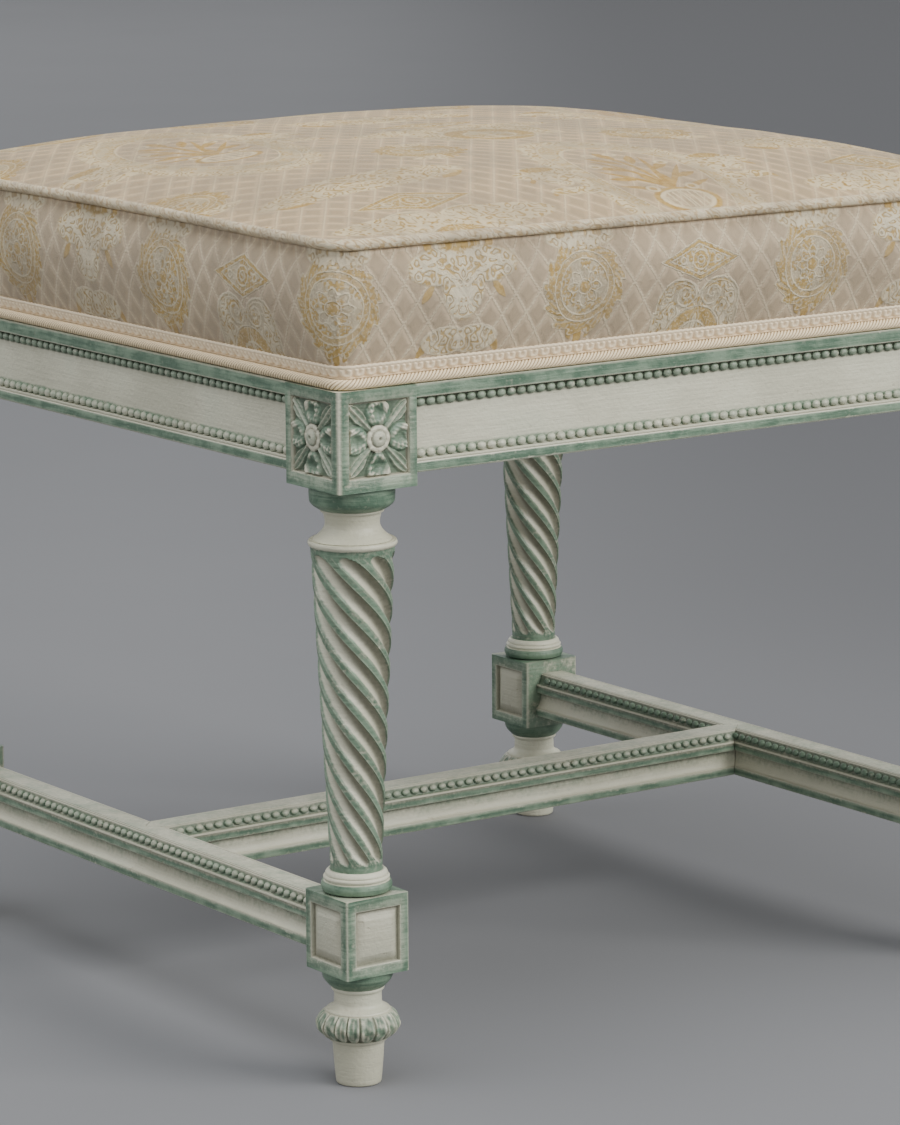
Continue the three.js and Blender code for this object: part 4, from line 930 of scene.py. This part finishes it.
class Figure(Layers):
    """A woven figure in a node group of its own. Place is in millimetres from the figure's middle, and Field
    is the noise that its scrollwork follows."""

    def __init__(self, name):
        super().__init__()
        places = [("Place", "NodeSocketVector"), ("Field", "NodeSocketFloat")]
        self.tree, start, self.end = new_group(name, places, [(mask, "NodeSocketFloat") for mask in Layers.NAMES])
        self.place, self.field = start.outputs[0], Value(self.tree, start.outputs[1])
        self.x, self.y, _ = apart(self.tree, self.place)
        self.wide = self.x.size()
        self.folded = together(self.tree, self.wide, self.y)

    def far(self, centre, width=1.0, height=1.0, whole=False):
        """Distance from a centre in units of an ellipse, on both sides of the upright axis."""
        return round_spot(self.tree, self.place if whole else self.folded, centre, width, height)

    def leaves(self, name, rows, strength=1.0):
        """Lays leaves given as centre, angle, length and width."""
        for across, up, angle, length, width in rows:
            self.lay(name, leaf(self.tree, self.folded, (across, up), angle, length, width) * strength)

    def scrollwork(self, where, gilt=0.9):
        """Lays pale curling lines and gold ones between them."""
        pale, gold = curls(self.field)
        self.lay("Pale", pale * where)
        self.lay("Gold", gold * where * gilt)

    def done(self):
        for socket, mask in zip(self.end.inputs, self.masks()):
            put(self.tree, socket, mask)
        return self.tree


def make_roundel():
    """A wreathed roundel 26 mm in radius: a leafy gold ring, a plain one, and an eight-petalled flower
    on a grey-green disc, with scrolls above and a tassel below."""
    f = Figure("roundel")
    r = ((f.x * f.x) + (f.y * f.y)).math("SQRT")
    angle = f.y.math("ARCTAN2", f.x)
    edge = (((angle * 13.0) + (r * 0.7)).math("SINE") * 1.5) + 24.6
    f.lay("Ground", (r - edge).step(1.0, 0.0))
    stroke = ((angle * 26.0) + (r * 1.9)).math("SINE").step(-0.5, 0.7)
    f.lay("Gold", (r - edge).step(0.7, -0.5) * r.step(18.4, 19.6) * (stroke * 0.75 + 0.25))
    f.lay("Gold", r.line(17.0, 1.4, 0.4) * 0.6)
    f.lay("Gold", r.step(3.4, 2.4))
    f.leaves("Gold", [(0, -26.5, 90, 5.0, 2.6), (6.5, -25, 60, 4.0, 1.6)])
    f.lines("Pale", r, (19.0, 0.35, 0.35), (15.2, 0.4, 0.35))
    f.lay("Pale", (r - ((angle * 8.0).math("COSINE") * 1.5) - 9.3).line(0.0, 0.5, 0.4))
    f.lay("Pale", (angle * 8.0).math("COSINE").step(-0.7, -0.98) * r.line(6.4, 2.4, 0.5))
    f.lay("Pale", r.line(4.0, 0.35, 0.3))
    f.lay("Pale", (r - edge).line(0.6, 0.35, 0.35) * 0.8)
    crest = f.far((0, 26), 23, 6.5)
    f.lay("Ground", crest.step(1.05, 0.9) * 0.6)
    f.scrollwork(crest.step(1.05, 0.85), 0.5)
    return f.done()


def make_lozenge():
    """A gold lozenge over a pair of scrolls and an arch, the same on both sides of the upright axis."""
    f = Figure("lozenge")
    far = (f.wide / 25.0) + ((f.y - 8.5).size() / 10.8)
    f.lay("Ground", far.step(1.06, 1.0))
    f.lines("Pale", far, (1.04, 0.03, 0.02), (0.78, 0.03, 0.02))
    f.lay("Gold", far.line(0.91, 0.07, 0.02))
    flower = f.far((0, 8.5))
    f.lay("Pale", flower.line(5.2, 0.4, 0.3))
    f.lay("Gold", flower.line(3.9, 0.7, 0.3))
    f.lay("Pale", flower.line(2.4, 0.4, 0.3))
    f.lay("Pale", f.far((11.5, 8.5)).line(1.8, 0.5, 0.3))
    arch = f.far((0, -36))
    f.lay("Ground", arch.step(19.5, 18.5))
    f.lay("Gold", arch.line(14.6, 3.2, 0.5) * 0.85)
    f.lines("Pale", arch, (18.9, 0.45, 0.3), (10.2, 0.45, 0.3))
    scroll = f.far((9.0, -10.5))
    turn = (f.y + 10.5).math("ARCTAN2", f.wide - 9.0)
    f.lay("Pale", ((scroll * 1.55) + turn).math("SINE").step(0.35, 0.85) * scroll.step(8.2, 7.4))
    shoulder = f.far((13.0, -16.0)).low((f.wide - 14.5).size().high((f.y + 33.0).size()) + 0.5)
    f.lay("Ground", shoulder.step(15.0, 14.0))
    f.lay("Pale", shoulder.line(14.3, 0.55, 0.35))
    f.lay("Pale", shoulder.line(12.3, 0.3, 0.3) * 0.7)
    inside = shoulder.step(12.2, 11.4) * arch.step(18.8, 19.6) * scroll.step(7.8, 8.6)
    f.scrollwork(inside, 0.5)
    return f.done()


def make_spray():
    """A gold cup with hanging foliage over a small crown of scrolls, the same on both sides."""
    f = Figure("spray")
    foliage = f.far((14, 17), 20, 9.5).low(f.far((0, 6), 13, 17))
    crown = f.far((9, -22), 14, 7.5)
    cup = f.far((0, 30.5), 15, 7.5)
    f.lay("Ground", foliage.step(1.1, 0.95) * 0.6)
    f.lay("Ground", crown.step(1.08, 0.95) * 0.6)
    f.lay("Ground", cup.step(1.1, 1.0))
    f.scrollwork(foliage.step(1.05, 0.9).high(crown.step(1.05, 0.9)))
    f.lay("Pale", cup.line(1.06, 0.06, 0.04))
    f.lay("Pale", crown.line(0.98, 0.08, 0.05) * 0.8)
    f.leaves("Pale", [(0, 2, 90, 10, 1.0), (5, 9, 52, 9, 1.2), (12, 14, 22, 10, 1.3), (4, -3, 118, 7, 1.1),
                      (20, 20, -15, 9, 1.2)])
    f.lay("Gold", cup.step(1.0, 0.85) * 0.9)
    f.leaves("Gold", [(22, 4, -50, 6.5, 2.2), (31, 18, -70, 6, 1.9), (8, 4, 48, 5.0, 1.3), (8, -21.5, 0, 3.6, 2.4),
                      (22, -25, -55, 6.5, 2.4), (18, 26, 25, 5, 1.5), (12, 8, 60, 4, 1.2)], 0.9)
    return f.done()


def make_medallion():
    """A tall oval with a bouquet over a basket, the same on both sides, with scrolled foliage round it."""
    f = Figure("medallion")
    oval = f.far((0, 0), 38, 80, whole=True)
    f.lay("Ground", oval.step(1.10, 1.06) - oval.step(0.88, 0.85))
    f.lay("Pale", oval.line(0.98, 0.09, 0.015) * 0.35)
    f.lay("Pale", oval.line(0.86, 0.012, 0.01))
    f.lay("Pale", oval.line(1.08, 0.012, 0.01) * 0.8)
    f.lay("Ground", oval.step(1.36, 1.2) * oval.step(1.08, 1.12) * 0.7)
    f.scrollwork(oval.step(1.09, 1.12) * oval.step(1.34, 1.24))
    inside = oval.step(0.86, 0.82)
    basket = f.far((0, -34), 16, 11)
    f.lay("Pale", basket.line(0.95, 0.10, 0.05))
    f.lay("Pale", (f.x * 1.6).math("SINE").step(0.2, 0.7) * basket.step(0.9, 0.8))
    f.lay("Gold", basket.line(1.15, 0.12, 0.05) * inside)
    f.leaves("Gold", [(0, 14, 90, 34, 1.5), (8, 8, 70, 30, 1.6), (14, -4, 50, 22, 1.8), (17, -18, 22, 14, 2.0),
                      (9, 30, 62, 12, 3.0), (17, 14, 40, 11, 3.2), (20, -4, 15, 9, 2.8), (4, -10, 75, 12, 3.2),
                      (0, 42, 90, 11, 3.6)], inside)
    for across, up in ((13, -20), (7, 46), (22, 20)):
        f.lay("Pale", f.far((across, up), 4.2, 4.2).line(0.75, 0.25, 0.1))
    return f.done()


def make_trellis():
    """Crossing slanted lines that leave diamonds 15.3 mm wide and 21.5 mm high. Place is in millimetres."""
    tree, start, end = new_group("trellis", [("Place", "NodeSocketVector")],
                                 [("Line", "NodeSocketFloat"), ("Middle", "NodeSocketFloat")])
    x, y, _ = apart(tree, start.outputs[0])
    across, up = x / 15.33, y / 21.5
    first, second = (across + up).math("PINGPONG", 0.5), (across - up).math("PINGPONG", 0.5)
    ripple = (y * 3.7).math("SINE") * 0.02
    line = (first + ripple).step(0.058, 0.022).high((second + ripple).step(0.058, 0.022))
    put(tree, end.inputs[0], line)
    put(tree, end.inputs[1], first.low(second).step(0.06, 0.3))
    return tree


GROUPS = {"grain": make_grain(), "weave": make_weave(), "roundel": make_roundel(), "lozenge": make_lozenge(),
          "spray": make_spray(), "medallion": make_medallion(), "trellis": make_trellis()}


# Materials

CREAM, CREAM_LIGHT, CREAM_DARK = (0.503, 0.492, 0.376), (0.612, 0.60, 0.471), (0.385, 0.37, 0.285)
GREEN_DEEP, GREEN_PALE = (0.076, 0.138, 0.09), (0.168, 0.246, 0.17)
SILK_GROUND, SILK_SHADE, SILK_LINE = (0.75, 0.60, 0.415), (0.575, 0.455, 0.31), (0.96, 0.84, 0.61)
SILK_MOTIF, SILK_PALE = (0.68, 0.60, 0.41), (0.97, 0.87, 0.64)
SILK_GOLD, SILK_GOLD_LIGHT = (0.56, 0.35, 0.085), (0.68, 0.48, 0.18)
# The second colour is the dark of broad patches that stand for stains and for painted sheen.
FIBRE_SHADE, SILK_STAIN_AND_SHEEN = (0.40, 0.34, 0.25), (0.42, 0.335, 0.24)
# The darkest paint colour serves both for painted shade and for dirt in the hollows.
GREEN_CAST, SHADE_AND_DIRT, CRACK, CHIP = (0.33, 0.40, 0.30), (0.078, 0.076, 0.05), (0.20, 0.17, 0.12), (0.26, 0.20, 0.13)


def scaled_by(tree, vector, scale):
    """A vector times a number."""
    node = tree.nodes.new("ShaderNodeVectorMath")
    node.operation = "SCALE"
    node.inputs["Scale"].default_value = scale
    tree.links.new(vector, node.inputs[0])
    return node.outputs[0]


def cloth_place(tree):
    """The cloth's own flat place in millimetres: shaken a little as woven outlines are, plain, and as a vector."""
    node = tree.nodes.new("ShaderNodeUVMap")
    node.uv_map = "cloth"
    raw = scaled_by(tree, node.outputs[0], 1000)
    x, y, _ = apart(tree, raw)
    shake = noise(tree, raw, 0.55, 1.0) - 0.5
    other = noise(tree, raw, 0.43, 1.0) - 0.5
    return x + (shake * 1.3), y + (other * 1.3), (x, y), raw


def woven_silk(name, layout, gloss=0.3, light_scale=(1, 1, 1), stain_and_sheen=0.38):
    """Figured silk: a satin ground with a ribbed trellis, and pale and gold figures laid over it. The figures'
    grounds are flecked with both threads. The threads' colours are multiplied by a scale as painted light and
    shade, so that each surface of the one cloth is brightened or tinted to suit how light falls on it. Broad
    dark patches at the strength given stand for stains and for painted sheen."""
    # The colour scale brightens or tints this copy of the cloth as painted light and shade.
    scaled_for_light = lambda colour: tuple(a * b for a, b in zip(colour, light_scale))
    material, tree, shader = new_material(name, Roughness=0.38, Specular_IOR_Level=gloss)
    x, y, plain, raw = cloth_place(tree)
    fleck, patch = noise(tree, raw, 0.55, 1.5), noise(tree, raw, 0.085, 2.0)
    ground, pale, gold = layout(tree, x, y, plain)
    trellis = use(tree, GROUPS["trellis"], Place=together(tree, x, y))
    pale = pale.high(ground * fleck.step(0.54, 0.59) * 0.5)
    gold = gold.high(ground * patch.step(0.44, 0.52) * fleck.step(0.55, 0.48) * 0.95)
    fibre = noise(tree, raw, 1.2, 2.0, (6, 0.35, 1))
    clear = ground.high(gold).less_from(1.0)
    base = mix(tree, trellis["Middle"] * 0.9, scaled_for_light(SILK_GROUND), scaled_for_light(SILK_SHADE))
    base = mix(tree, trellis["Line"] * clear * 0.7, base, scaled_for_light(SILK_LINE))
    base = mix(tree, ground * 0.6, base, scaled_for_light(SILK_MOTIF))
    gilt = mix(tree, noise(tree, raw, 0.25, 2.0).step(0.35, 0.65), scaled_for_light(SILK_GOLD), scaled_for_light(SILK_GOLD_LIGHT))
    base = mix(tree, gold * 0.95, base, gilt)
    base = mix(tree, pale * 0.85, base, scaled_for_light(SILK_PALE))
    base = mix(tree, (fibre - 0.5).size() * 0.5, base, FIBRE_SHADE)
    # Broad dark patches: stains, and painted sheen that varies over the cloth.
    base = mix(tree, noise(tree, raw, 0.02, 4.0).step(0.42, 0.60) * stain_and_sheen, base, SILK_STAIN_AND_SHEEN)
    tree.links.new(base, shader.inputs["Base Color"])
    rough = (ground.high(trellis["Line"]) * 0.15) + (pale * 0.12) + (fibre * 0.08) + 0.28
    put(tree, shader.inputs["Roughness"], rough)
    threads = use(tree, GROUPS["weave"], Place=scaled_by(tree, raw, 2.2))["Height"]
    figures = (pale * 0.8) + (gold * 0.5) + (trellis["Line"] * clear * 0.6) + (trellis["Middle"] * 0.9)
    bumped(tree, shader, figures + (threads * 0.25) + (fibre * 0.3), 0.0012, 1.0)
    return material


def repeated(value, first, pitch):
    """Place from the nearest of evenly spaced centres, from minus to plus half the pitch."""
    return ((value - first) / pitch + 0.5).math("FRACT") * pitch - pitch / 2


def boxing_layout(tree, x, y, plain):
    """Roundels at an even pitch along the boxing, with lozenges and sprays by turns between them."""
    field = scroll_field(tree, repeated(plain[0], ROUNDEL_START, ROUNDEL_PITCH / 2).size(), plain[1], 0.15)
    up, layers = y - ROUNDEL_UP, Layers()
    for name, first, pitch in (("roundel", 0.0, 1.0), ("spray", 0.5, 2.0), ("lozenge", 1.5, 2.0)):
        along = repeated(x, ROUNDEL_START + first * ROUNDEL_PITCH, pitch * ROUNDEL_PITCH)
        layers.lay_all(use(tree, GROUPS[name], Place=together(tree, along, up), Field=field))
    return layers.masks()


def top_layout(tree, x, y, plain):
    """A half-drop repeat: every other column is moved by half the upright repeat."""
    field = scroll_field(tree, repeated(plain[0], 0.0, TOP_COLUMN).size(), plain[1], 0.12)
    column = ((x + TOP_COLUMN / 2) / TOP_COLUMN).math("FLOOR")
    u = x - (column * TOP_COLUMN)
    v = repeated(y + (column.math("PINGPONG", 1.0) * (TOP_REPEAT / 2)), -188.0, TOP_REPEAT)
    wide, tall = u.size(), v.size()
    panel_up = repeated(v, TOP_REPEAT / 2, TOP_REPEAT)
    layers = Layers()
    layers.lay_all(use(tree, GROUPS["medallion"], Place=together(tree, wide, v), Field=field))
    beside = together(tree, (wide - TOP_COLUMN / 2) * 0.96, (tall - TOP_REPEAT / 4) * 0.96)
    layers.lay_all(use(tree, GROUPS["roundel"], Place=beside, Field=field))
    layers.lay_all(use(tree, GROUPS["spray"], Place=together(tree, (wide - 57.0) * 1.4, (v - 4.0) * 1.4), Field=field))
    layers.lay_all(use(tree, GROUPS["lozenge"], Place=together(tree, u * 0.7, (panel_up * 0.7) + 8.5), Field=field))
    folded = together(tree, wide, panel_up)
    for across, up, angle in ((6, 44, 80), (22, 47, 62), (38, 44, 48), (50, 36, 30)):
        layers.lay("Gold", leaf(tree, folded, (across, up), angle, 11, 4))
    scrolls = round_spot(tree, folded, (0, 48), 64, 19).low(round_spot(tree, folded, (30, -29), 40, 12))
    scrolls = scrolls.step(1.05, 0.92)
    layers.lay("Ground", scrolls * 0.6)
    pale, gold = curls(field)
    layers.lay("Pale", pale * scrolls)
    layers.lay("Gold", gold * scrolls)
    return layers.masks()


def welt_layout(tree, x, y, plain):
    """The same cloth cut on the cross, so that only scraps of figures cross the piping."""
    slant = together(tree, plain[0] + (plain[1] * 0.9), plain[1] * 0.8)
    pale, gold = curls(noise(tree, slant, 0.14, 0.8))
    scrap = noise(tree, slant, 0.07, 2.0)
    return scrap.step(0.42, 0.52) * 0.3, pale * 0.7, gold.high(scrap.step(0.57, 0.62)) * 0.5


def old_paint():
    """Grey-cream paint rubbed with green on the raised bands, darkened in the hollows with painted shade and
    some dirt, worn pale along edges, brushed in fine streaks, with hair cracks."""
    material, tree, shader = new_material("old_paint", Specular_IOR_Level=0.5)
    place = object_place(tree)
    green, hollow, edge = (mask_of(tree, name) for name in ("green", "hollow", "edge"))
    broad, mid, small = noise(tree, place, 16, 4.0), noise(tree, place, 70, 5.0), noise(tree, place, 420, 4.0)
    streak = noise(tree, place, 30, 4.0, (1, 1, 20))
    rub = (mid * 0.40) + (small * 0.35) + (streak * 0.25)
    cream = mix(tree, broad.step(0.35, 0.65), CREAM, CREAM_LIGHT)
    cream = mix(tree, (streak - 0.5).size() * 1.0, cream, CREAM_DARK)
    cream = mix(tree, broad.step(0.52, 0.68) * 0.18, cream, GREEN_CAST)
    tint = mix(tree, ((mid * 0.6) + (streak * 0.4)).step(0.42, 0.60), GREEN_DEEP, GREEN_PALE)
    share = (green * 1.1 - (edge * 0.5)) + ((rub - 0.5) * (green * 2.2 + 1.0))
    colour = mix(tree, share.step(0.12, 0.85), cream, tint)
    colour = mix(tree, edge * rub.step(0.42, 0.56) * 0.7, colour, CREAM_LIGHT)
    # The hollow mask darkens the colour with painted shade in grooves, recesses and shaded flanks, and with some dirt.
    colour = mix(tree, hollow * (small * 0.4 + 0.68), colour, SHADE_AND_DIRT)
    crack = crack_lines(tree, place, 60, (1, 1, 0.5)) * broad.step(0.64, 0.74)
    colour = mix(tree, crack * 0.25, colour, CRACK)
    chip = noise(tree, place, 150, 3.0).step(0.68, 0.73) * (edge * 0.7 + 0.2)
    colour = mix(tree, chip * 0.6, colour, CHIP)
    tree.links.new(colour, shader.inputs["Base Color"])
    put(tree, shader.inputs["Roughness"], (rub * 0.3) + 0.27 + (hollow * 0.2))
    height = (rub * 0.8) + (small * 0.6) + (streak * 0.5) - (crack * 0.35) - (chip * 0.8)
    bumped(tree, shader, height, 0.0007, 0.7)
    return material


def crack_lines(tree, vector, scale, stretch):
    """Thin lines along the borders of uneven cells."""
    node = tree.nodes.new("ShaderNodeTexVoronoi")
    node.feature = "DISTANCE_TO_EDGE"
    node.inputs["Scale"].default_value = scale
    put(tree, node.inputs["Vector"], vector_math(tree, "MULTIPLY", vector, stretch))
    return Value(tree, node.outputs["Distance"]).step(0.014, 0.003)


def thread_material(name, light, dark, scale, pit):
    """Silk threads of the braid and the cord: fine fibres, darkened in the pits with painted shade."""
    material, tree, shader = new_material(name, Roughness=0.65, Specular_IOR_Level=0.3)
    place = object_place(tree)
    fibre = noise(tree, place, scale, 3.0)
    blotch = noise(tree, place, 30, 2.0)
    hollow = mask_of(tree, "hollow")
    colour = mix(tree, blotch.step(0.3, 0.7), light, tuple(0.96 * v for v in light))
    colour = mix(tree, (fibre - 0.5).size() * 0.3, colour, dark)
    # Painted shade in the pits.
    colour = mix(tree, hollow * pit, colour, dark)
    tree.links.new(colour, shader.inputs["Base Color"])
    bumped(tree, shader, fibre, 0.0004, 0.6)
    return material


def wood_material(name, light, dark, stretch, scale=26.0):
    """Bare wood: drawn-out fibres in two sizes with a few dark pores."""
    material, tree, shader = new_material(name, Roughness=0.72)
    place = vector_math(tree, "MULTIPLY", object_place(tree), stretch)
    broad, narrow = (use(tree, GROUPS["grain"], Place=place, Fineness=s)["Fibre"] for s in (scale, scale * 9))
    colour = mix(tree, broad.step(0.3, 0.7), light, dark)
    colour = mix(tree, narrow.step(0.58, 0.75) * 0.5, colour, tuple(0.5 * v for v in dark))
    tree.links.new(colour, shader.inputs["Base Color"])
    put(tree, shader.inputs["Roughness"], narrow * 0.2 + 0.62)
    bumped(tree, shader, narrow, 0.0003, 0.5)
    return material


def coarse_weave(name, light, dark, threads):
    """Jute or hessian: a plain weave of uneven threads over Object coordinates."""
    material, tree, shader = new_material(name, Roughness=0.92, Sheen_Weight=0.2)
    place = scaled_by(tree, object_place(tree), threads)
    weave = use(tree, GROUPS["weave"], Place=place)["Height"]
    slub = noise(tree, place, 0.35, 3.0)
    fine_noise = noise(tree, place, 3.0, 2.0)
    colour = mix(tree, (weave * 0.7) + (slub * 0.3), dark, light)
    colour = mix(tree, fine_noise.step(0.55, 0.75) * 0.4, colour, dark)
    tree.links.new(colour, shader.inputs["Base Color"])
    bumped(tree, shader, (weave * 0.8) + (fine_noise * 0.3), 0.0007, 0.9)
    return material


def steel_material():
    """Dull steel with turning marks and a little rust."""
    material, tree, shader = new_material("dull_steel", Metallic=0.9, Roughness=0.45)
    place = object_place(tree)
    rust = noise(tree, place, 220, 4.0).step(0.5, 0.68)
    colour = mix(tree, rust, (0.42, 0.41, 0.39), (0.20, 0.12, 0.07))
    tree.links.new(colour, shader.inputs["Base Color"])
    put(tree, shader.inputs["Roughness"], rust * 0.35 + 0.38)
    bumped(tree, shader, noise(tree, place, 900, 2.0), 0.0002, 0.5)
    return material


PAINT = old_paint()
# One cloth in three copies, each brightened or tinted differently as painted light and shade.
SILK_BOX = woven_silk("silk_boxing", boxing_layout, 0.3, (1.14, 1.13, 1.12))
SILK_TOP = woven_silk("silk_top", top_layout, 0.03, (1.07, 1.00, 0.875), 0.36)
SILK_WELT = woven_silk("silk_welt", welt_layout, 0.3, (1.22, 1.20, 1.17))
BRAID = thread_material("braid_threads", (1.0, 0.84, 0.60), (0.66, 0.47, 0.29), 1400, 0.6)
CORD = thread_material("cord_threads", (0.98, 0.81, 0.54), (0.30, 0.21, 0.11), 1800, 0.85)
HESSIAN = coarse_weave("hessian_cloth", (0.50, 0.40, 0.26), (0.22, 0.16, 0.09), 620.0)
JUTE = coarse_weave("jute_web", (0.46, 0.36, 0.22), (0.19, 0.13, 0.075), 480.0)
BEECH = wood_material("bare_beech", (0.50, 0.36, 0.22), (0.36, 0.24, 0.14), (1, 1, 8))
PEG = wood_material("peg_oak", (0.36, 0.24, 0.14), (0.22, 0.14, 0.08), (3, 3, 3), 60.0)
STEEL = steel_material()


# Pieces

CORNERS = ("front_left", "front_right", "back_right", "back_left")
SIDES = ("front", "right", "back", "left")
LEG_PLACES = ((-1, -1), (1, -1), (1, 1), (-1, 1))

for quarter, corner in enumerate(CORNERS):
    whole = Shape()
    x, y = LEG_PLACES[quarter]
    whole.join(leg(2 - quarter % 2), quarter, (x * LEG_AXIS, y * LEG_AXIS, 0))
    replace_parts(whole.piece(f"carved_leg_{corner}", [PAINT], "painted_wood"), f"leg_{corner}")

for quarter, side in enumerate(SIDES):
    whole = Shape()
    whole.join(rail(), quarter)
    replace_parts(whole.piece(f"beaded_rail_{side}", [PAINT], "painted_wood"), f"rail_{side}")

for side, quarter in (("left", 3), ("right", 1)):
    whole = Shape()
    whole.join(side_stretcher(), quarter)
    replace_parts(whole.piece(f"beaded_stretcher_{side}", [PAINT], "painted_wood"), f"stretcher_{side}")
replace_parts(cross_stretcher().piece("beaded_stretcher_cross", [PAINT], "painted_wood"), "stretcher_cross")

seat = cushion().piece("silk_seat", [SILK_BOX, SILK_TOP, HESSIAN], "silk", sharp=60)
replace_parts(seat, "seat_stuffing", "seat_top_cover", "seat_boxing")
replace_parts(welt().piece("silk_piping", [SILK_WELT], "silk", sharp=60), "welt_piping")
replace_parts(gimp().piece("looped_gimp", [BRAID], "braid", sharp=80), "gimp_braid")
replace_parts(rope().piece("six_strand_cord", [CORD], "braid", sharp=80), "twisted_cord")

FINISHES = {"rail_peg": PEG, "cross_peg": PEG, "corner_block": BEECH, "corner_screw": STEEL, "webbing": JUTE,
            "hessian": HESSIAN}

for name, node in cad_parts.items():
    for start, finish in FINISHES.items():
        if name.startswith(start):
            node.data.materials.clear()
            node.data.materials.append(finish)


# Floor, light and camera

FOCAL_LENGTH, PHOTO_HEIGHT = 4840.68, 1125  # in the photograph's pixels

def floor():
    """A wide flat floor of plain pale plaster, darkened towards the far right with painted shade."""
    mesh = bpy.data.meshes.new("floor")
    mesh.from_pydata([(-8, -8, 0), (8, -8, 0), (8, 8, 0), (-8, 8, 0)], [], [(0, 1, 2, 3)])
    material, tree, shader = new_material("pale_floor", Roughness=0.8)
    place = object_place(tree)
    x, y, _ = apart(tree, place)
    far, right = (x * 0.57) + (y * 0.82), (x * 0.82) - (y * 0.57)
    plaster = mix(tree, noise(tree, place, 3, 4.0), (0.163, 0.1665, 0.1765), (0.179, 0.1825, 0.1925))
    # Painted shade: the floor darkens towards the back right as the light falls off.
    shade = far.step(-0.4, 1.1) * right.step(-0.3, 0.4)
    tree.links.new(mix(tree, shade, plaster, (0.106, 0.1085, 0.116)), shader.inputs["Base Color"])
    mesh.materials.append(material)
    made = bpy.data.objects.new("floor", mesh)
    bpy.context.scene.collection.objects.link(made)


def stand(made, across, above, back, place):
    """Puts a lamp or a camera into the scene at its place, by the directions of its three axes."""
    bpy.context.scene.collection.objects.link(made)
    turn = np.column_stack([across, above, back])
    made.matrix_world = Matrix([[*row, p] for row, p in zip(turn, place)] + [[0, 0, 0, 1]])


def lamp(name, place, target, size, power, colour=(1, 1, 1)):
    """A square area light that faces a target."""
    light = bpy.data.lights.new(name, "AREA")
    light.size, light.energy, light.color = size, power, colour
    z = np.array(place, float) - np.array(target, float)
    z /= np.linalg.norm(z)
    x = np.cross((0, 0, 1), z)
    x /= np.linalg.norm(x)
    stand(bpy.data.objects.new(name, light), x, np.cross(z, x), z, place)


def camera():
    """The photograph's view: its place, its three turns and its long lens, as fitted to the stool."""
    yaw, pitch, roll = math.radians(35.0155), math.radians(10.8913), math.radians(-0.4643)
    forward = np.array([math.sin(yaw) * math.cos(pitch), math.cos(yaw) * math.cos(pitch), -math.sin(pitch)])
    right = np.array([math.cos(yaw), -math.sin(yaw), 0.0])
    up = np.cross(right, forward)
    across = right * math.cos(roll) + up * math.sin(roll)
    above = -right * math.sin(roll) + up * math.cos(roll)
    data = bpy.data.cameras.new("camera")
    data.sensor_width = 36
    data.lens = FOCAL_LENGTH * 36 / PHOTO_HEIGHT
    data.clip_end = 50
    made = bpy.data.objects.new("camera", data)
    stand(made, across, above, -forward, (-1.5813, -2.2544, 0.7517))
    bpy.context.scene.camera = made


floor()
lamp("window", (1.3, -2.7, 2.2), (0, 0, 0.3), 1.8, 116, (1.0, 0.985, 0.95))
lamp("room", (-0.8, -0.4, 3.1), (0, 0, 0.3), 2.0, 54, (0.98, 0.99, 1.0))
lamp("back", (1.5, 6.5, 2.2), (2.4, 4.8, 0), 1.8, 38)
lamp("left", (-2.8, 1.2, 2.0), (0, 0, 0.4), 1.6, 14)
lamp("fill", (-0.6, -3.6, 1.6), (0, 0, 0.2), 2.0, 14)
world = bpy.data.worlds.new("room_light")
world.use_nodes = True
world.node_tree.nodes["Background"].inputs["Color"].default_value = (0.80, 0.81, 0.82, 1)
world.node_tree.nodes["Background"].inputs["Strength"].default_value = 0.88
bpy.context.scene.world = world
camera()
